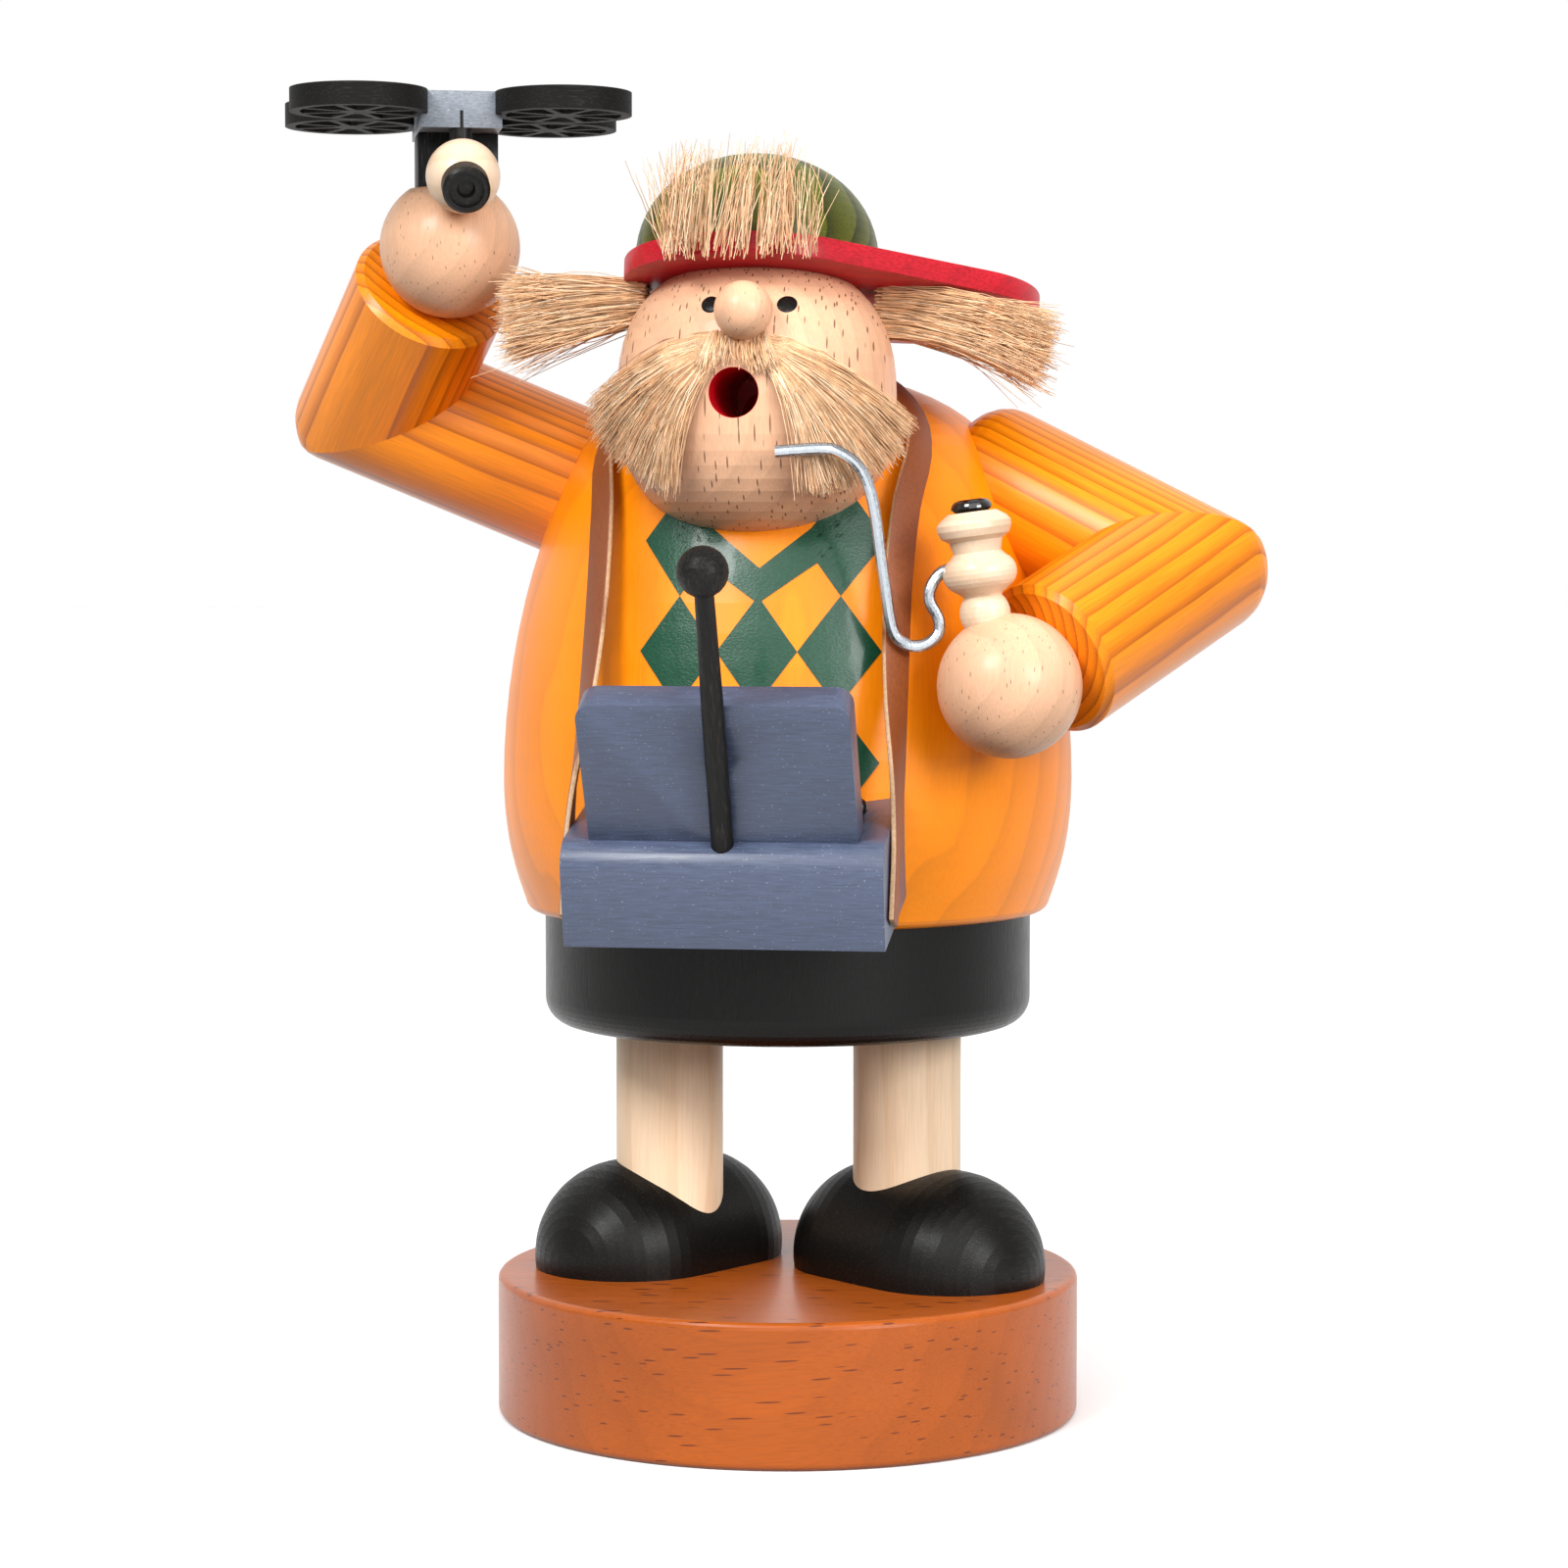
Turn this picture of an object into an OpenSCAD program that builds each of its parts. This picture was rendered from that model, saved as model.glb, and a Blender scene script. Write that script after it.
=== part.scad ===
// Turned wooden incense smoker figure: a drone pilot standing on a round base.
// +Z up, the figure faces -Y, and the origin is the centre of the base's underside.
// The jacket and all that is glued to it lift off the trousers to load an incense cone.

/* [Base and legs] */
// Diameter of the round base
base_d = 108; // [100:1:130]
// Height of the round base
base_h = 26; // [18:1:36]
// Rounding along both rims of the base
base_round = 1.2; // [0.4:0.1:3]
// Diameter of each leg dowel
leg_d = 20; // [14:0.5:24]
// Distance between the two legs' axes
leg_gap = 44.8; // [38:0.1:50]
// Height of the trousers' underside above the base
leg_rise = 46.5; // [38:0.5:60]
// How deep a leg is let into the shoe and into the trousers
leg_socket = 10; // [6:0.5:14]

/* [Shoes] */
// Length of a shoe
shoe_len = 53; // [44:0.5:58]
// Width of a shoe
shoe_w = 35; // [30:0.5:36]
// Height of a shoe
shoe_h = 20; // [16:0.5:26]
// Outward turn of the right shoe
shoe_turn_right = 30; // [10:1:50]
// Outward turn of the left shoe
shoe_turn_left = 48; // [10:1:50]

/* [Trousers] */
// Diameter of the trouser block
trousers_d = 90; // [84:1:96]
// Height of the trouser block below the jacket
trousers_h = 21; // [16:0.5:30]
// Rounding along the lower edge of the trousers
trousers_round = 5; // [2:0.5:7]
// Diameter of the spigot that the jacket sits over
spigot_d = 70; // [56:1:76]
// Height of the spigot
spigot_h = 8; // [5:0.5:12]
// Radial clearance between the spigot and the jacket's bore
spigot_fit = 0.06; // [0.03:0.01:0.1]
// Diameter of the air inlet through the trousers
air_d = 8; // [5:0.5:10]
// Diameter of the metal plate that the incense cone stands on
plate_d = 24; // [18:0.5:28]
// Thickness of the plate
plate_t = 0.8; // [0.5:0.1:1.5]

/* [Jacket] */
// Greatest diameter of the jacket
jacket_d = 105.2; // [92:0.2:128]
// Height of the jacket
jacket_h = 100.5; // [92:0.5:112]
// Height of the straight part of the smoke chamber
chamber_h = 52; // [40:1:60]
// Diameter of the smoke channel
smoke_d = 8; // [5:0.5:9]

/* [Head] */
// Diameter of the head
head_d = 49.2; // [42:0.2:54]
// Height of the head before its top is cut flat
head_h = 49.2; // [44:0.2:54]
// Distance of the head's axis in front of the jacket's axis
head_forward = 35; // [30:0.5:40]
// How far the head's centre lies below the top of the jacket
head_sink = 7.5; // [2:0.5:12]
// Diameter of the mouth
mouth_d = 8.5; // [6:0.5:11]
// Diameter of the nose ball
nose_d = 10; // [7:0.5:12]
// Height of the nose above the head's centre
nose_up = 13.9; // [11:0.1:15]
// Turn of the nose to the wearer's left, in degrees
nose_turn = 4; // [-10:1:10]

/* [Cap] */
// Radius of the round end of the brim
brim_r = 23.3; // [22:0.1:28]
// Distance that the brim reaches out beyond the head
visor_out = 33.7; // [24:0.5:42]
// Thickness of the brim board
brim_t = 4; // [3:0.5:6]
// Diameter of the dome
dome_d = 42.8; // [36:0.2:44]
// Height of the dome
dome_h = 18.8; // [14:0.2:24]
// Height of the middle of the brim above the head's centre
cap_up = 21.6; // [20:0.1:23]
// Backward tilt of the cap
cap_tilt = 9.7; // [0:0.1:14]
// Direction that the visor points in, from the figure's left towards its back
visor_turn = 44; // [0:1:90]

/* [Arms] */
// Diameter of the arms
arm_d = 28; // [22:0.5:30]
// Rounding of the arms' closed ends and outer elbows
arm_round = 7; // [3:0.5:10]
// Chamfer round each cuff
cuff_chamfer = 1.2; // [0.4:0.1:2]
// Distance of each shoulder from the jacket's axis
shoulder_out = 39; // [34:0.5:42]
// Depth of the shoulders below the top of the jacket
shoulder_drop = 22; // [16:0.5:28]
// Diameter of the hand balls
hand_d = 25; // [20:0.5:28]
// Diameter of the glued dowels in the arms
dowel_d = 6; // [4:0.5:8]
// Length of the glued dowels in the arms
dowel_len = 16; // [12:0.5:20]
// Length of the right upper arm, shoulder to elbow
upper_right_len = 40.3; // [36:0.1:46]
// Length from the right elbow to the middle of the hand
fore_right_len = 41.1; // [38:0.1:48]
// Length of the left upper arm, shoulder to elbow
upper_left_len = 39.5; // [37:0.1:46]
// Length from the left elbow to the middle of the hand
fore_left_len = 46.4; // [42:0.1:50]

/* [Drone] */
// Width of the drone's body block
drone_w = 14.2; // [12:0.2:16]
// Length of the drone's body block
drone_len = 25; // [22:0.5:30]
// Height of the drone's body block
drone_h = 6.4; // [5:0.2:9]
// Turn of the drone about the vertical
drone_turn = 18; // [0:1:40]
// Height of the drone's top above the middle of the right hand
drone_up = 26.2; // [25:0.1:30]
// Diameter of each rotor disc
rotor_d = 24; // [18:0.5:24]
// Thickness of each rotor disc
rotor_t = 4; // [2.5:0.5:5]
// Number of spokes in a rotor disc
rotor_spokes = 8; // [4:1:10]
// Depth of the post between the hand and the block
post_len = 10; // [7:0.5:12]
// Diameter of the camera ball
camera_d = 13; // [10:0.5:13.5]
// Diameter of the camera's lens cup
lens_d = 8.3; // [6:0.1:9]

/* [Pipe] */
// Greatest diameter of the pipe bowl
bowl_d = 12.8; // [10:0.2:15]
// Diameter of the bead at the foot of the pipe
bead_d = 8.8; // [7:0.2:10]
// Diameter of the wire stem
stem_d = 2.1; // [1.5:0.1:2.6]

/* [Remote control] */
// Width of the remote's box
remote_w = 55; // [46:0.5:60]
// Depth of the remote's box
remote_len = 20; // [16:0.5:26]
// Height of the remote's box
remote_h = 18; // [14:0.5:22]
// Downward pitch of the remote's box
remote_pitch = 14; // [8:1:18]
// Rounding of the box's top front edge
remote_round = 5; // [2:0.5:7]
// Height of the box's middle above the jacket's lower edge
remote_up = 10.3; // [9.5:0.1:20]
// Width of the screen board
board_w = 46; // [36:0.5:50]
// Height of the screen board
board_h = 27; // [20:0.5:30]
// Thickness of the screen board
board_t = 6.5; // [4:0.5:8]
// Forward lean of the screen board and the antenna
board_lean = 28; // [10:1:32]
// Length of the antenna, foot to ball centre
antenna_len = 54; // [40:0.5:60]
// Diameter of the antenna's stick
antenna_d = 3.8; // [2.5:0.1:5]
// Diameter of the antenna's ball
antenna_ball_d = 8.5; // [6:0.1:10]

/* [Strap] */
// Width of the leather strap
strap_w = 5.5; // [4:0.5:6]
// Thickness of the leather strap
strap_t = 1; // [0.8:0.1:1.4]

/* [Hair] */
// Length of the side tufts
tuft_len = 24; // [16:0.5:28]
// Height of the front tuft above the brim
fringe_h = 17; // [12:0.5:19]

/* [Hidden] */

$fn = 64;
glue_fit = 0.02;     // gap round a glued dowel, peg or tenon
skin_gap = 0.3;      // gap between hair and what it hangs in front of
big = 200;           // larger than the figure, for half-space cuts

trousers_z = base_h + leg_rise;
jacket_z = trousers_z + trousers_h;
jacket_top = jacket_z + jacket_h;
jacket_r = jacket_d / 2;
head_c = [0, -head_forward, jacket_top - head_sink];
cap_c = head_c + [0, 0, cap_up];
head_power = 2.4;
dome_power = 2.1;

// Points of an arc, from angle a to angle b
function arc(c, r, a, b, n) = [for (i = [0:n]) c + r * [cos(a + (b - a) * i / n), sin(a + (b - a) * i / n)]];
// Points of a Bezier curve, its first point left out
function bez(p, n) = [for (i = [1:n]) let (t = i / n, s = 1 - t)
    s * s * s * p[0] + 3 * s * s * t * p[1] + 3 * s * t * t * p[2] + t * t * t * p[3]];
// Points of a superellipse from angle a to angle b, its half-width r and half-height h
function barrel(r, h, power, a, b, n) = [for (i = [0:n]) let (t = a + (b - a) * i / n)
    [r * pow(abs(cos(t)), 2 / power), h * sign(sin(t)) * pow(abs(sin(t)), 2 / power)]];
function unit(v) = v / norm(v);
// A direction from its angle about Z and its angle above the horizontal
function aim(turn, rise) = [cos(rise) * cos(turn), cos(rise) * sin(turn), sin(rise)];
// Points on a smooth curve through the given ones, n for each stretch
function smooth(p, n) = [for (i = [0:len(p) - 2], j = [0:(i == len(p) - 2 ? n : n - 1)])
    let (t = j / n, a = p[max(i - 1, 0)], b = p[i], c = p[i + 1], d = p[min(i + 2, len(p) - 1)])
    0.5 * (2 * b + (c - a) * t + (2 * a - 5 * b + 4 * c - d) * t * t + (3 * b - a - 3 * c + d) * t * t * t)];
function tangent(p, i) = unit(p[min(i + 1, len(p) - 1)] - p[max(i - 1, 0)]);

// Puts the children's Z axis along a direction, at a point
module along(p, dir) {
    translate(p) rotate([0, acos(dir[2] / norm(dir)), atan2(dir[1], dir[0])]) children();
}

// All that lies beyond a plane, on the side that dir points to
module beyond(p, dir) {
    along(p, dir) translate([-big / 2, -big / 2, 0]) cube(big);
}

// Closed skin over a list of rings with the same number of points each
module skin(rings) {
    n = len(rings[0]);
    last = len(rings) - 1;
    polyhedron(
        points = [for (ring = rings, p = ring) p],
        faces = concat(
            [[for (j = [0:n - 1]) n - 1 - j]],
            [[for (j = [0:n - 1]) last * n + j]],
            [for (i = [0:last - 1], j = [0:n - 1])
                [i * n + j, i * n + (j + 1) % n, (i + 1) * n + (j + 1) % n, (i + 1) * n + j]]),
        convexity = 6);
}

// ---- Lower half ----

module base() {
    r = base_d / 2;
    c = base_round;
    color("sienna") rotate_extrude() polygon(concat(
        [[0, 0]], arc([r - c, c], c, -90, 0, 4), arc([r - c, base_h - c], c, 0, 90, 4), [[0, base_h]]));
}

shoe_place_right = [-25.4, 5.6];
shoe_place_left = [24.6, -0.6];

// Half-round shoe, a rod with ball ends cut off flat below, and drilled for the leg
module shoe(place, turn, leg_x) {
    r = shoe_w / 2;
    half = shoe_len / 2 - r;
    color("#1a1614") difference() {
        translate([place[0], place[1], base_h + shoe_h - r]) rotate([0, 0, turn]) rotate([0, 90, 0])
            rotate_extrude() polygon(concat([[0, -half - r]],
                arc([0, -half], r, -90, 0, 12), arc([0, half], r, 0, 90, 12)));
        translate([0, 0, base_h]) mirror([0, 0, 1]) translate([-big / 2, -big / 2, 0]) cube(big);
        translate([leg_x, 0, base_h + shoe_h - leg_socket])
            cylinder(d = leg_d + 2 * glue_fit, h = big);
    }
}
module shoe_right() { shoe(shoe_place_right, -90 - shoe_turn_right, -leg_gap / 2); }
module shoe_left() { shoe(shoe_place_left, -90 + shoe_turn_left, leg_gap / 2); }

module leg(x) {
    foot = base_h + shoe_h - leg_socket;
    color("#ebd5b0") translate([x, 0, foot])
        cylinder(d = leg_d, h = trousers_z + leg_socket - foot);
}
module leg_right() { leg(-leg_gap / 2); }
module leg_left() { leg(leg_gap / 2); }

air_y = (plate_d + air_d) / 2 + 3;
tack_d = 1.4;
tack_head_d = 4.2;
tack_head_h = 1.1;
tack_len = 9;

module trousers() {
    r = trousers_d / 2;
    c = trousers_round;
    s = spigot_d / 2;
    color("#161412") difference() {
        rotate_extrude() polygon(concat([[0, trousers_z]],
            arc([r - c, trousers_z + c], c, -90, 0, 8),
            [[r, jacket_z], [s, jacket_z], [s, jacket_z + spigot_h - 1], [s - 1, jacket_z + spigot_h],
                [0, jacket_z + spigot_h]]));
        for (x = [-leg_gap / 2, leg_gap / 2]) translate([x, 0, trousers_z - 1])
            cylinder(d = leg_d + 2 * glue_fit, h = leg_socket + 1);
        translate([0, air_y, trousers_z - 1]) cylinder(d = air_d, h = trousers_h + spigot_h + 2);
        translate([0, 0, jacket_z + spigot_h - tack_len])
            cylinder(d = tack_d + 2 * glue_fit, h = tack_len + 1);
    }
}

module incense_plate() {
    color("silver") translate([0, 0, jacket_z + spigot_h]) difference() {
        cylinder(d = plate_d, h = plate_t);
        translate([0, 0, -1]) cylinder(d = tack_d + 2 * glue_fit, h = plate_t + 2);
    }
}

module plate_tack() {
    color("goldenrod") translate([0, 0, jacket_z + spigot_h + plate_t]) {
        translate([0, 0, 0.5 - tack_len]) cylinder(d = tack_d, h = tack_len - 0.5);
        cylinder(d = tack_head_d, h = tack_head_h);
    }
}

// ---- Jacket ----

// Outline of the jacket from its lower edge to the middle of its top
edge_round = 2.5;
jacket_foot_r = jacket_r - 4;
jacket_neck_r = jacket_r - 14.4;
jacket_wide_z = jacket_z + 24.5;
jacket_neck_z = jacket_top - 15.5;
jacket_outline = concat(
    arc([jacket_foot_r - edge_round, jacket_z + edge_round], edge_round, -90, -10, 5),
    bez([[jacket_foot_r, jacket_z + 2.5], [jacket_r - 1.1, jacket_z + 9.5],
        [jacket_r, jacket_wide_z - 7.5], [jacket_r, jacket_wide_z]], 7),
    bez([[jacket_r, jacket_wide_z], [jacket_r, jacket_wide_z + 22],
        [jacket_r - 6.1, jacket_neck_z - 15.5], [jacket_neck_r, jacket_neck_z]], 12),
    bez([[jacket_neck_r, jacket_neck_z], [jacket_r - 18.1, jacket_neck_z + 6.5],
        [jacket_r - 28.6, jacket_top - 2], [0, jacket_top]], 10));

module jacket_form() {
    rotate_extrude() polygon(concat([[0, jacket_z]], jacket_outline));
}

// Outline of the head about its own centre
module head_form(grow = 0) {
    translate(head_c) rotate_extrude()
        polygon(barrel(head_d / 2 + grow, head_h / 2 + grow, head_power, -90, 90, 28));
}

smoke_foot = [0, -12, jacket_z + chamber_h + 4];
module smoke_channel() {
    along(smoke_foot, head_c - smoke_foot) cylinder(d = smoke_d, h = norm(head_c - smoke_foot));
}

module jacket() {
    bore = spigot_d / 2 + spigot_fit;
    color("#ff9a1e") difference() {
        jacket_form();
        rotate_extrude() polygon([[0, jacket_z - 1], [bore, jacket_z - 1], [bore, jacket_z + chamber_h],
            [bore - 17, jacket_z + chamber_h + 12], [0, jacket_z + chamber_h + 16]]);
        head_form(glue_fit);
        smoke_channel();
        shoulder_holes();
    }
}

// ---- Head and cap ----

module at_cap() {
    translate(cap_c) rotate([-cap_tilt, 0, 0]) rotate([0, 0, visor_turn]) children();
}

peg_d = 4;
nose_out = (head_d / 2) * pow(1 - pow(nose_up / (head_h / 2), head_power), 1 / head_power) + 0.27 * nose_d;
nose_c = head_c + [nose_out * sin(nose_turn), -nose_out * cos(nose_turn), nose_up];

module head() {
    color("#e0b08a") difference() {
        head_form();
        smoke_channel();
        along(head_c, [0, -1, 0]) translate([0, 0, -smoke_d / 2]) cylinder(d = mouth_d, h = head_d);
        translate(nose_c) sphere(d = nose_d + 2 * glue_fit);
        along(nose_c, [0, 1, 0]) cylinder(d = peg_d + 2 * glue_fit, h = nose_d);
        at_cap() translate([-big / 2, -big / 2, -brim_t / 2]) cube(big);
    }
}

module nose() {
    color("#e2b98f") {
        translate(nose_c) sphere(d = nose_d);
        along(nose_c, [0, 1, 0]) cylinder(d = peg_d, h = nose_d - 1);
    }
}

module cap_dome() {
    color("#5c6b1e") at_cap() translate([0, 0, brim_t / 2])
        rotate_extrude() polygon(concat([[0, 0]], barrel(dome_d / 2, dome_h, dome_power, 0, 90, 16)));
}

module cap_brim() {
    color("#c8202b") at_cap() translate([0, 0, -brim_t / 2]) linear_extrude(brim_t) {
        circle(r = brim_r);
        translate([visor_out, 0]) circle(r = brim_r);
        translate([0, -brim_r]) square([visor_out, 2 * brim_r]);
    }
}

// ---- Hair ----

module tuft(from, to, r1, r2) {
    along(from, to - from) cylinder(r1 = r1, r2 = r2, h = norm(to - from), $fn = 32);
}

module moustache() {
    root = nose_c + [0, -1.5, -nose_d / 2 - 2.4];
    color("#c9a377") difference() {
        union() {
            tuft(root + [-2.4, 0, 0], root + [-23, 6.4, -16], 2, 4.6);
            tuft(root + [2.4, 0, 0], root + [24, 9.8, -15], 2, 4.6);
        }
        head_form(skin_gap);
        translate(nose_c) sphere(d = nose_d + 2 * skin_gap);
    }
}

module hair_front() {
    color("#c9a377") translate(cap_c + [0, -brim_r - skin_gap, brim_t]) rotate([90, 0, 0])
        linear_extrude(3) polygon([[-13, -1], [13, -1], [16, fringe_h - 2], [-16, fringe_h - 2]]);
}

module hair_right() {
    root = head_c + [-20.5, -1.5, 15.5];
    color("#c9a377") difference() {
        tuft(root, root + tuft_len * unit([-1, -0.1, -0.12]), 3.4, 6);
        head_form(skin_gap);
    }
}

module hair_left() {
    root = head_c + [20.5, 3.5, 13.5];
    color("#c9a377") difference() {
        tuft(root, root + (tuft_len + 6) * unit([1, 0.16, -0.12]), 3, 6);
        head_form(skin_gap);
    }
}

// ---- Arms ----

shoulder_z = jacket_top - shoulder_drop;
shoulder_r = [-shoulder_out, 0, shoulder_z];
shoulder_l = [shoulder_out, 0, shoulder_z];
upper_dir_r = aim(191.3, 22.5);
upper_dir_l = aim(-23, -24.9);
fore_dir_r = aim(-51.7, 39.9);
fore_dir_l = aim(-127.8, -23.9);
elbow_r = shoulder_r + upper_right_len * upper_dir_r;
elbow_l = shoulder_l + upper_left_len * upper_dir_l;
hand_c_r = elbow_r + fore_right_len * fore_dir_r;
hand_c_l = elbow_l + fore_left_len * fore_dir_l;
cuff_back = 10.1;    // from the middle of a hand back to the end face of its cuff
arm_root = 8;        // how far an upper arm starts inside the shoulder point

// Turned rod from z = 0, with its foot rounded and its far end rounded in so many steps
module rod(h, end_round, steps) {
    r = arm_d / 2;
    rotate_extrude() polygon(concat([[0, 0]],
        arc([r - arm_round, arm_round], arm_round, -90, 0, 6),
        arc([r - end_round, h - end_round], end_round, 0, 90, steps), [[0, h]]));
}

module dowel_hole(p, dir) {
    along(p, dir) translate([0, 0, -dowel_len / 2 - 0.5])
        cylinder(d = dowel_d + 2 * glue_fit, h = dowel_len + 1);
}
module dowel(p, dir) {
    color("#ebd5b0") along(p, dir) translate([0, 0, -dowel_len / 2]) cylinder(d = dowel_d, h = dowel_len);
}

// Normal of an elbow's mitre plane, pointing from the upper arm into the forearm
function mitre(u, f) = unit(u + f);

module upper_arm(shoulder, dir, elbow, fore_dir) {
    r = arm_d / 2;
    len = norm(elbow - shoulder);
    color("#f5951e") difference() {
        along(elbow + r * dir, -dir) rod(len + r + arm_root, arm_round, 6);
        beyond(elbow, mitre(dir, fore_dir));
        jacket_form();
        dowel_hole(elbow, mitre(dir, fore_dir));
        shoulder_hole(shoulder, dir);
    }
}

module forearm(elbow, dir, hand, upper_dir) {
    r = arm_d / 2;
    len = norm(hand - elbow) - cuff_back;
    color("#f5951e") difference() {
        along(elbow - r * dir, dir) rod(len + r, cuff_chamfer, 1);
        beyond(elbow, -mitre(upper_dir, dir));
        translate(hand) sphere(d = hand_d + 2 * glue_fit);
        dowel_hole(elbow, mitre(upper_dir, dir));
        dowel_hole(hand - hand_d / 2 * dir, dir);
    }
}

// The shoulder dowel is centred where the arm's axis leaves the jacket
shoulder_dowel_at = 2;
module shoulder_hole(shoulder, dir) { dowel_hole(shoulder + shoulder_dowel_at * dir, dir); }
module shoulder_holes() {
    shoulder_hole(shoulder_r, upper_dir_r);
    shoulder_hole(shoulder_l, upper_dir_l);
}

module upper_arm_right() { upper_arm(shoulder_r, upper_dir_r, elbow_r, fore_dir_r); }
module upper_arm_left() { upper_arm(shoulder_l, upper_dir_l, elbow_l, fore_dir_l); }
module forearm_right() { forearm(elbow_r, fore_dir_r, hand_c_r, upper_dir_r); }
module forearm_left() { forearm(elbow_l, fore_dir_l, hand_c_l, upper_dir_l); }

module shoulder_dowels() {
    dowel(shoulder_r + shoulder_dowel_at * upper_dir_r, upper_dir_r);
    dowel(shoulder_l + shoulder_dowel_at * upper_dir_l, upper_dir_l);
}
module elbow_dowels() {
    dowel(elbow_r, mitre(upper_dir_r, fore_dir_r));
    dowel(elbow_l, mitre(upper_dir_l, fore_dir_l));
}
module wrist_dowels() {
    dowel(hand_c_r - hand_d / 2 * fore_dir_r, fore_dir_r);
    dowel(hand_c_l - hand_d / 2 * fore_dir_l, fore_dir_l);
}

// ---- Hands ----

post_flat = 10.2;    // height of the flat for the drone's post, above the middle of the hand
pipe_dir = [-0.128, -0.02, 0.991];
pipe_c = hand_c_l + [-4.2, -0.5, 12.4];
pipe_peg_d = 5;
pipe_peg_len = 9;

module hand(c, fore_dir) {
    difference() {
        translate(c) sphere(d = hand_d);
        dowel_hole(c - hand_d / 2 * fore_dir, fore_dir);
        children();
    }
}
module hand_right() {
    color("#d9a987") hand(hand_c_r, fore_dir_r)
        translate(hand_c_r + [-big / 2, -big / 2, post_flat]) cube(big);
}
module hand_left() {
    color("#e0b492") hand(hand_c_l, fore_dir_l) {
        translate(pipe_c) sphere(d = bead_d + 2 * glue_fit);
        along(pipe_c, -pipe_dir) cylinder(d = pipe_peg_d + 2 * glue_fit, h = pipe_peg_len + 1);
    }
}

// ---- Drone ----

drone_c = [hand_c_r[0] + 1.4, hand_c_r[1] - 0.4, hand_c_r[2] + drone_up - drone_h / 2];
module at_drone() { translate(drone_c) rotate([0, 0, drone_turn]) children(); }

rotor_x = rotor_d / 2 + drone_w / 2 - 1.2;
rotor_y = rotor_d / 2 + 0.1;
rotor_rim = 1.8;
rotor_hub_d = 6;
spoke_w = 1.3;
spoke_t = 2.4;
camera_c = [0, -15, -11.9];
camera_neck_d = 4;
lens_dir = aim(-72, -22);
lens_len = 4.5;

module drone_block() {
    color("#7a8490") at_drone() difference() {
        translate([-drone_w / 2, -drone_len / 2, -drone_h / 2]) cube([drone_w, drone_len, drone_h]);
        for (x = [-rotor_x, rotor_x], y = [-rotor_y, rotor_y])
            translate([x, y, drone_h / 2 - rotor_t]) cylinder(d = rotor_d, h = rotor_t + 1);
        translate([camera_c[0], 2 - drone_len / 2, -drone_h / 2 - 1])
            cylinder(d = camera_neck_d + 2 * glue_fit, h = 4);
    }
}

module drone_post() {
    top = drone_c[2] - drone_h / 2;
    foot = hand_c_r[2] + post_flat;
    color("#1d1b1a") translate([drone_c[0], drone_c[1], foot]) rotate([0, 0, drone_turn])
        translate([-drone_w / 2, -post_len / 2 + 1, 0]) cube([drone_w, post_len, top - foot]);
}

module rotor(side, end) {
    color("#1f1a18") at_drone() translate([side * rotor_x, end * rotor_y, drone_h / 2 - rotor_t]) {
        difference() {
            cylinder(d = rotor_d, h = rotor_t);
            translate([0, 0, -1]) cylinder(d = rotor_d - 2 * rotor_rim, h = rotor_t + 2);
        }
        cylinder(d = rotor_hub_d, h = spoke_t);
        for (k = [0:rotor_spokes - 1]) rotate([0, 0, (k + 0.5) * 360 / rotor_spokes])
            translate([rotor_hub_d / 2 - 0.5, -spoke_w / 2, 0])
                cube([rotor_d / 2 - rotor_rim - rotor_hub_d / 2 + 1, spoke_w, spoke_t]);
    }
}
module rotor_front_right() { rotor(-1, -1); }
module rotor_front_left() { rotor(1, -1); }
module rotor_rear_right() { rotor(-1, 1); }
module rotor_rear_left() { rotor(1, 1); }

camera_p = drone_c + [camera_c[1] * -sin(drone_turn), camera_c[1] * cos(drone_turn), camera_c[2]];

module camera_peg(extra) {
    at_drone() translate([camera_c[0], 2 - drone_len / 2, camera_c[2] + 3])
        cylinder(d = camera_neck_d + 2 * extra, h = 3 - drone_h / 2 - camera_c[2] - 3);
}
module camera_neck() { color("#1d1b1a") camera_peg(0); }

module camera_ball() {
    color("#f0d9b0") difference() {
        translate(camera_p) sphere(d = camera_d);
        camera_peg(glue_fit);
        along(camera_p, lens_dir) translate([0, 0, camera_d / 2 - 2.2])
            cylinder(d = lens_d + 2 * glue_fit, h = camera_d);
    }
}

// Cup with a raised ring round a shallow well
module camera_lens() {
    r = lens_d / 2;
    color("#141414") along(camera_p, lens_dir) translate([0, 0, camera_d / 2 - 2.2])
        rotate_extrude() polygon([[0, 0], [r, 0], [r, lens_len - 0.5], [r - 0.5, lens_len],
            [r - 1.1, lens_len], [r - 1.1, lens_len - 1], [1.6, lens_len - 1], [1.3, lens_len - 2.2],
            [0, lens_len - 2.2]]);
}

// ---- Pipe ----

bead_r = bead_d / 2;
bowl_r = bowl_d / 2;
pipe_top_z = 17.5;
tobacco_r = 3.6;

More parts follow.
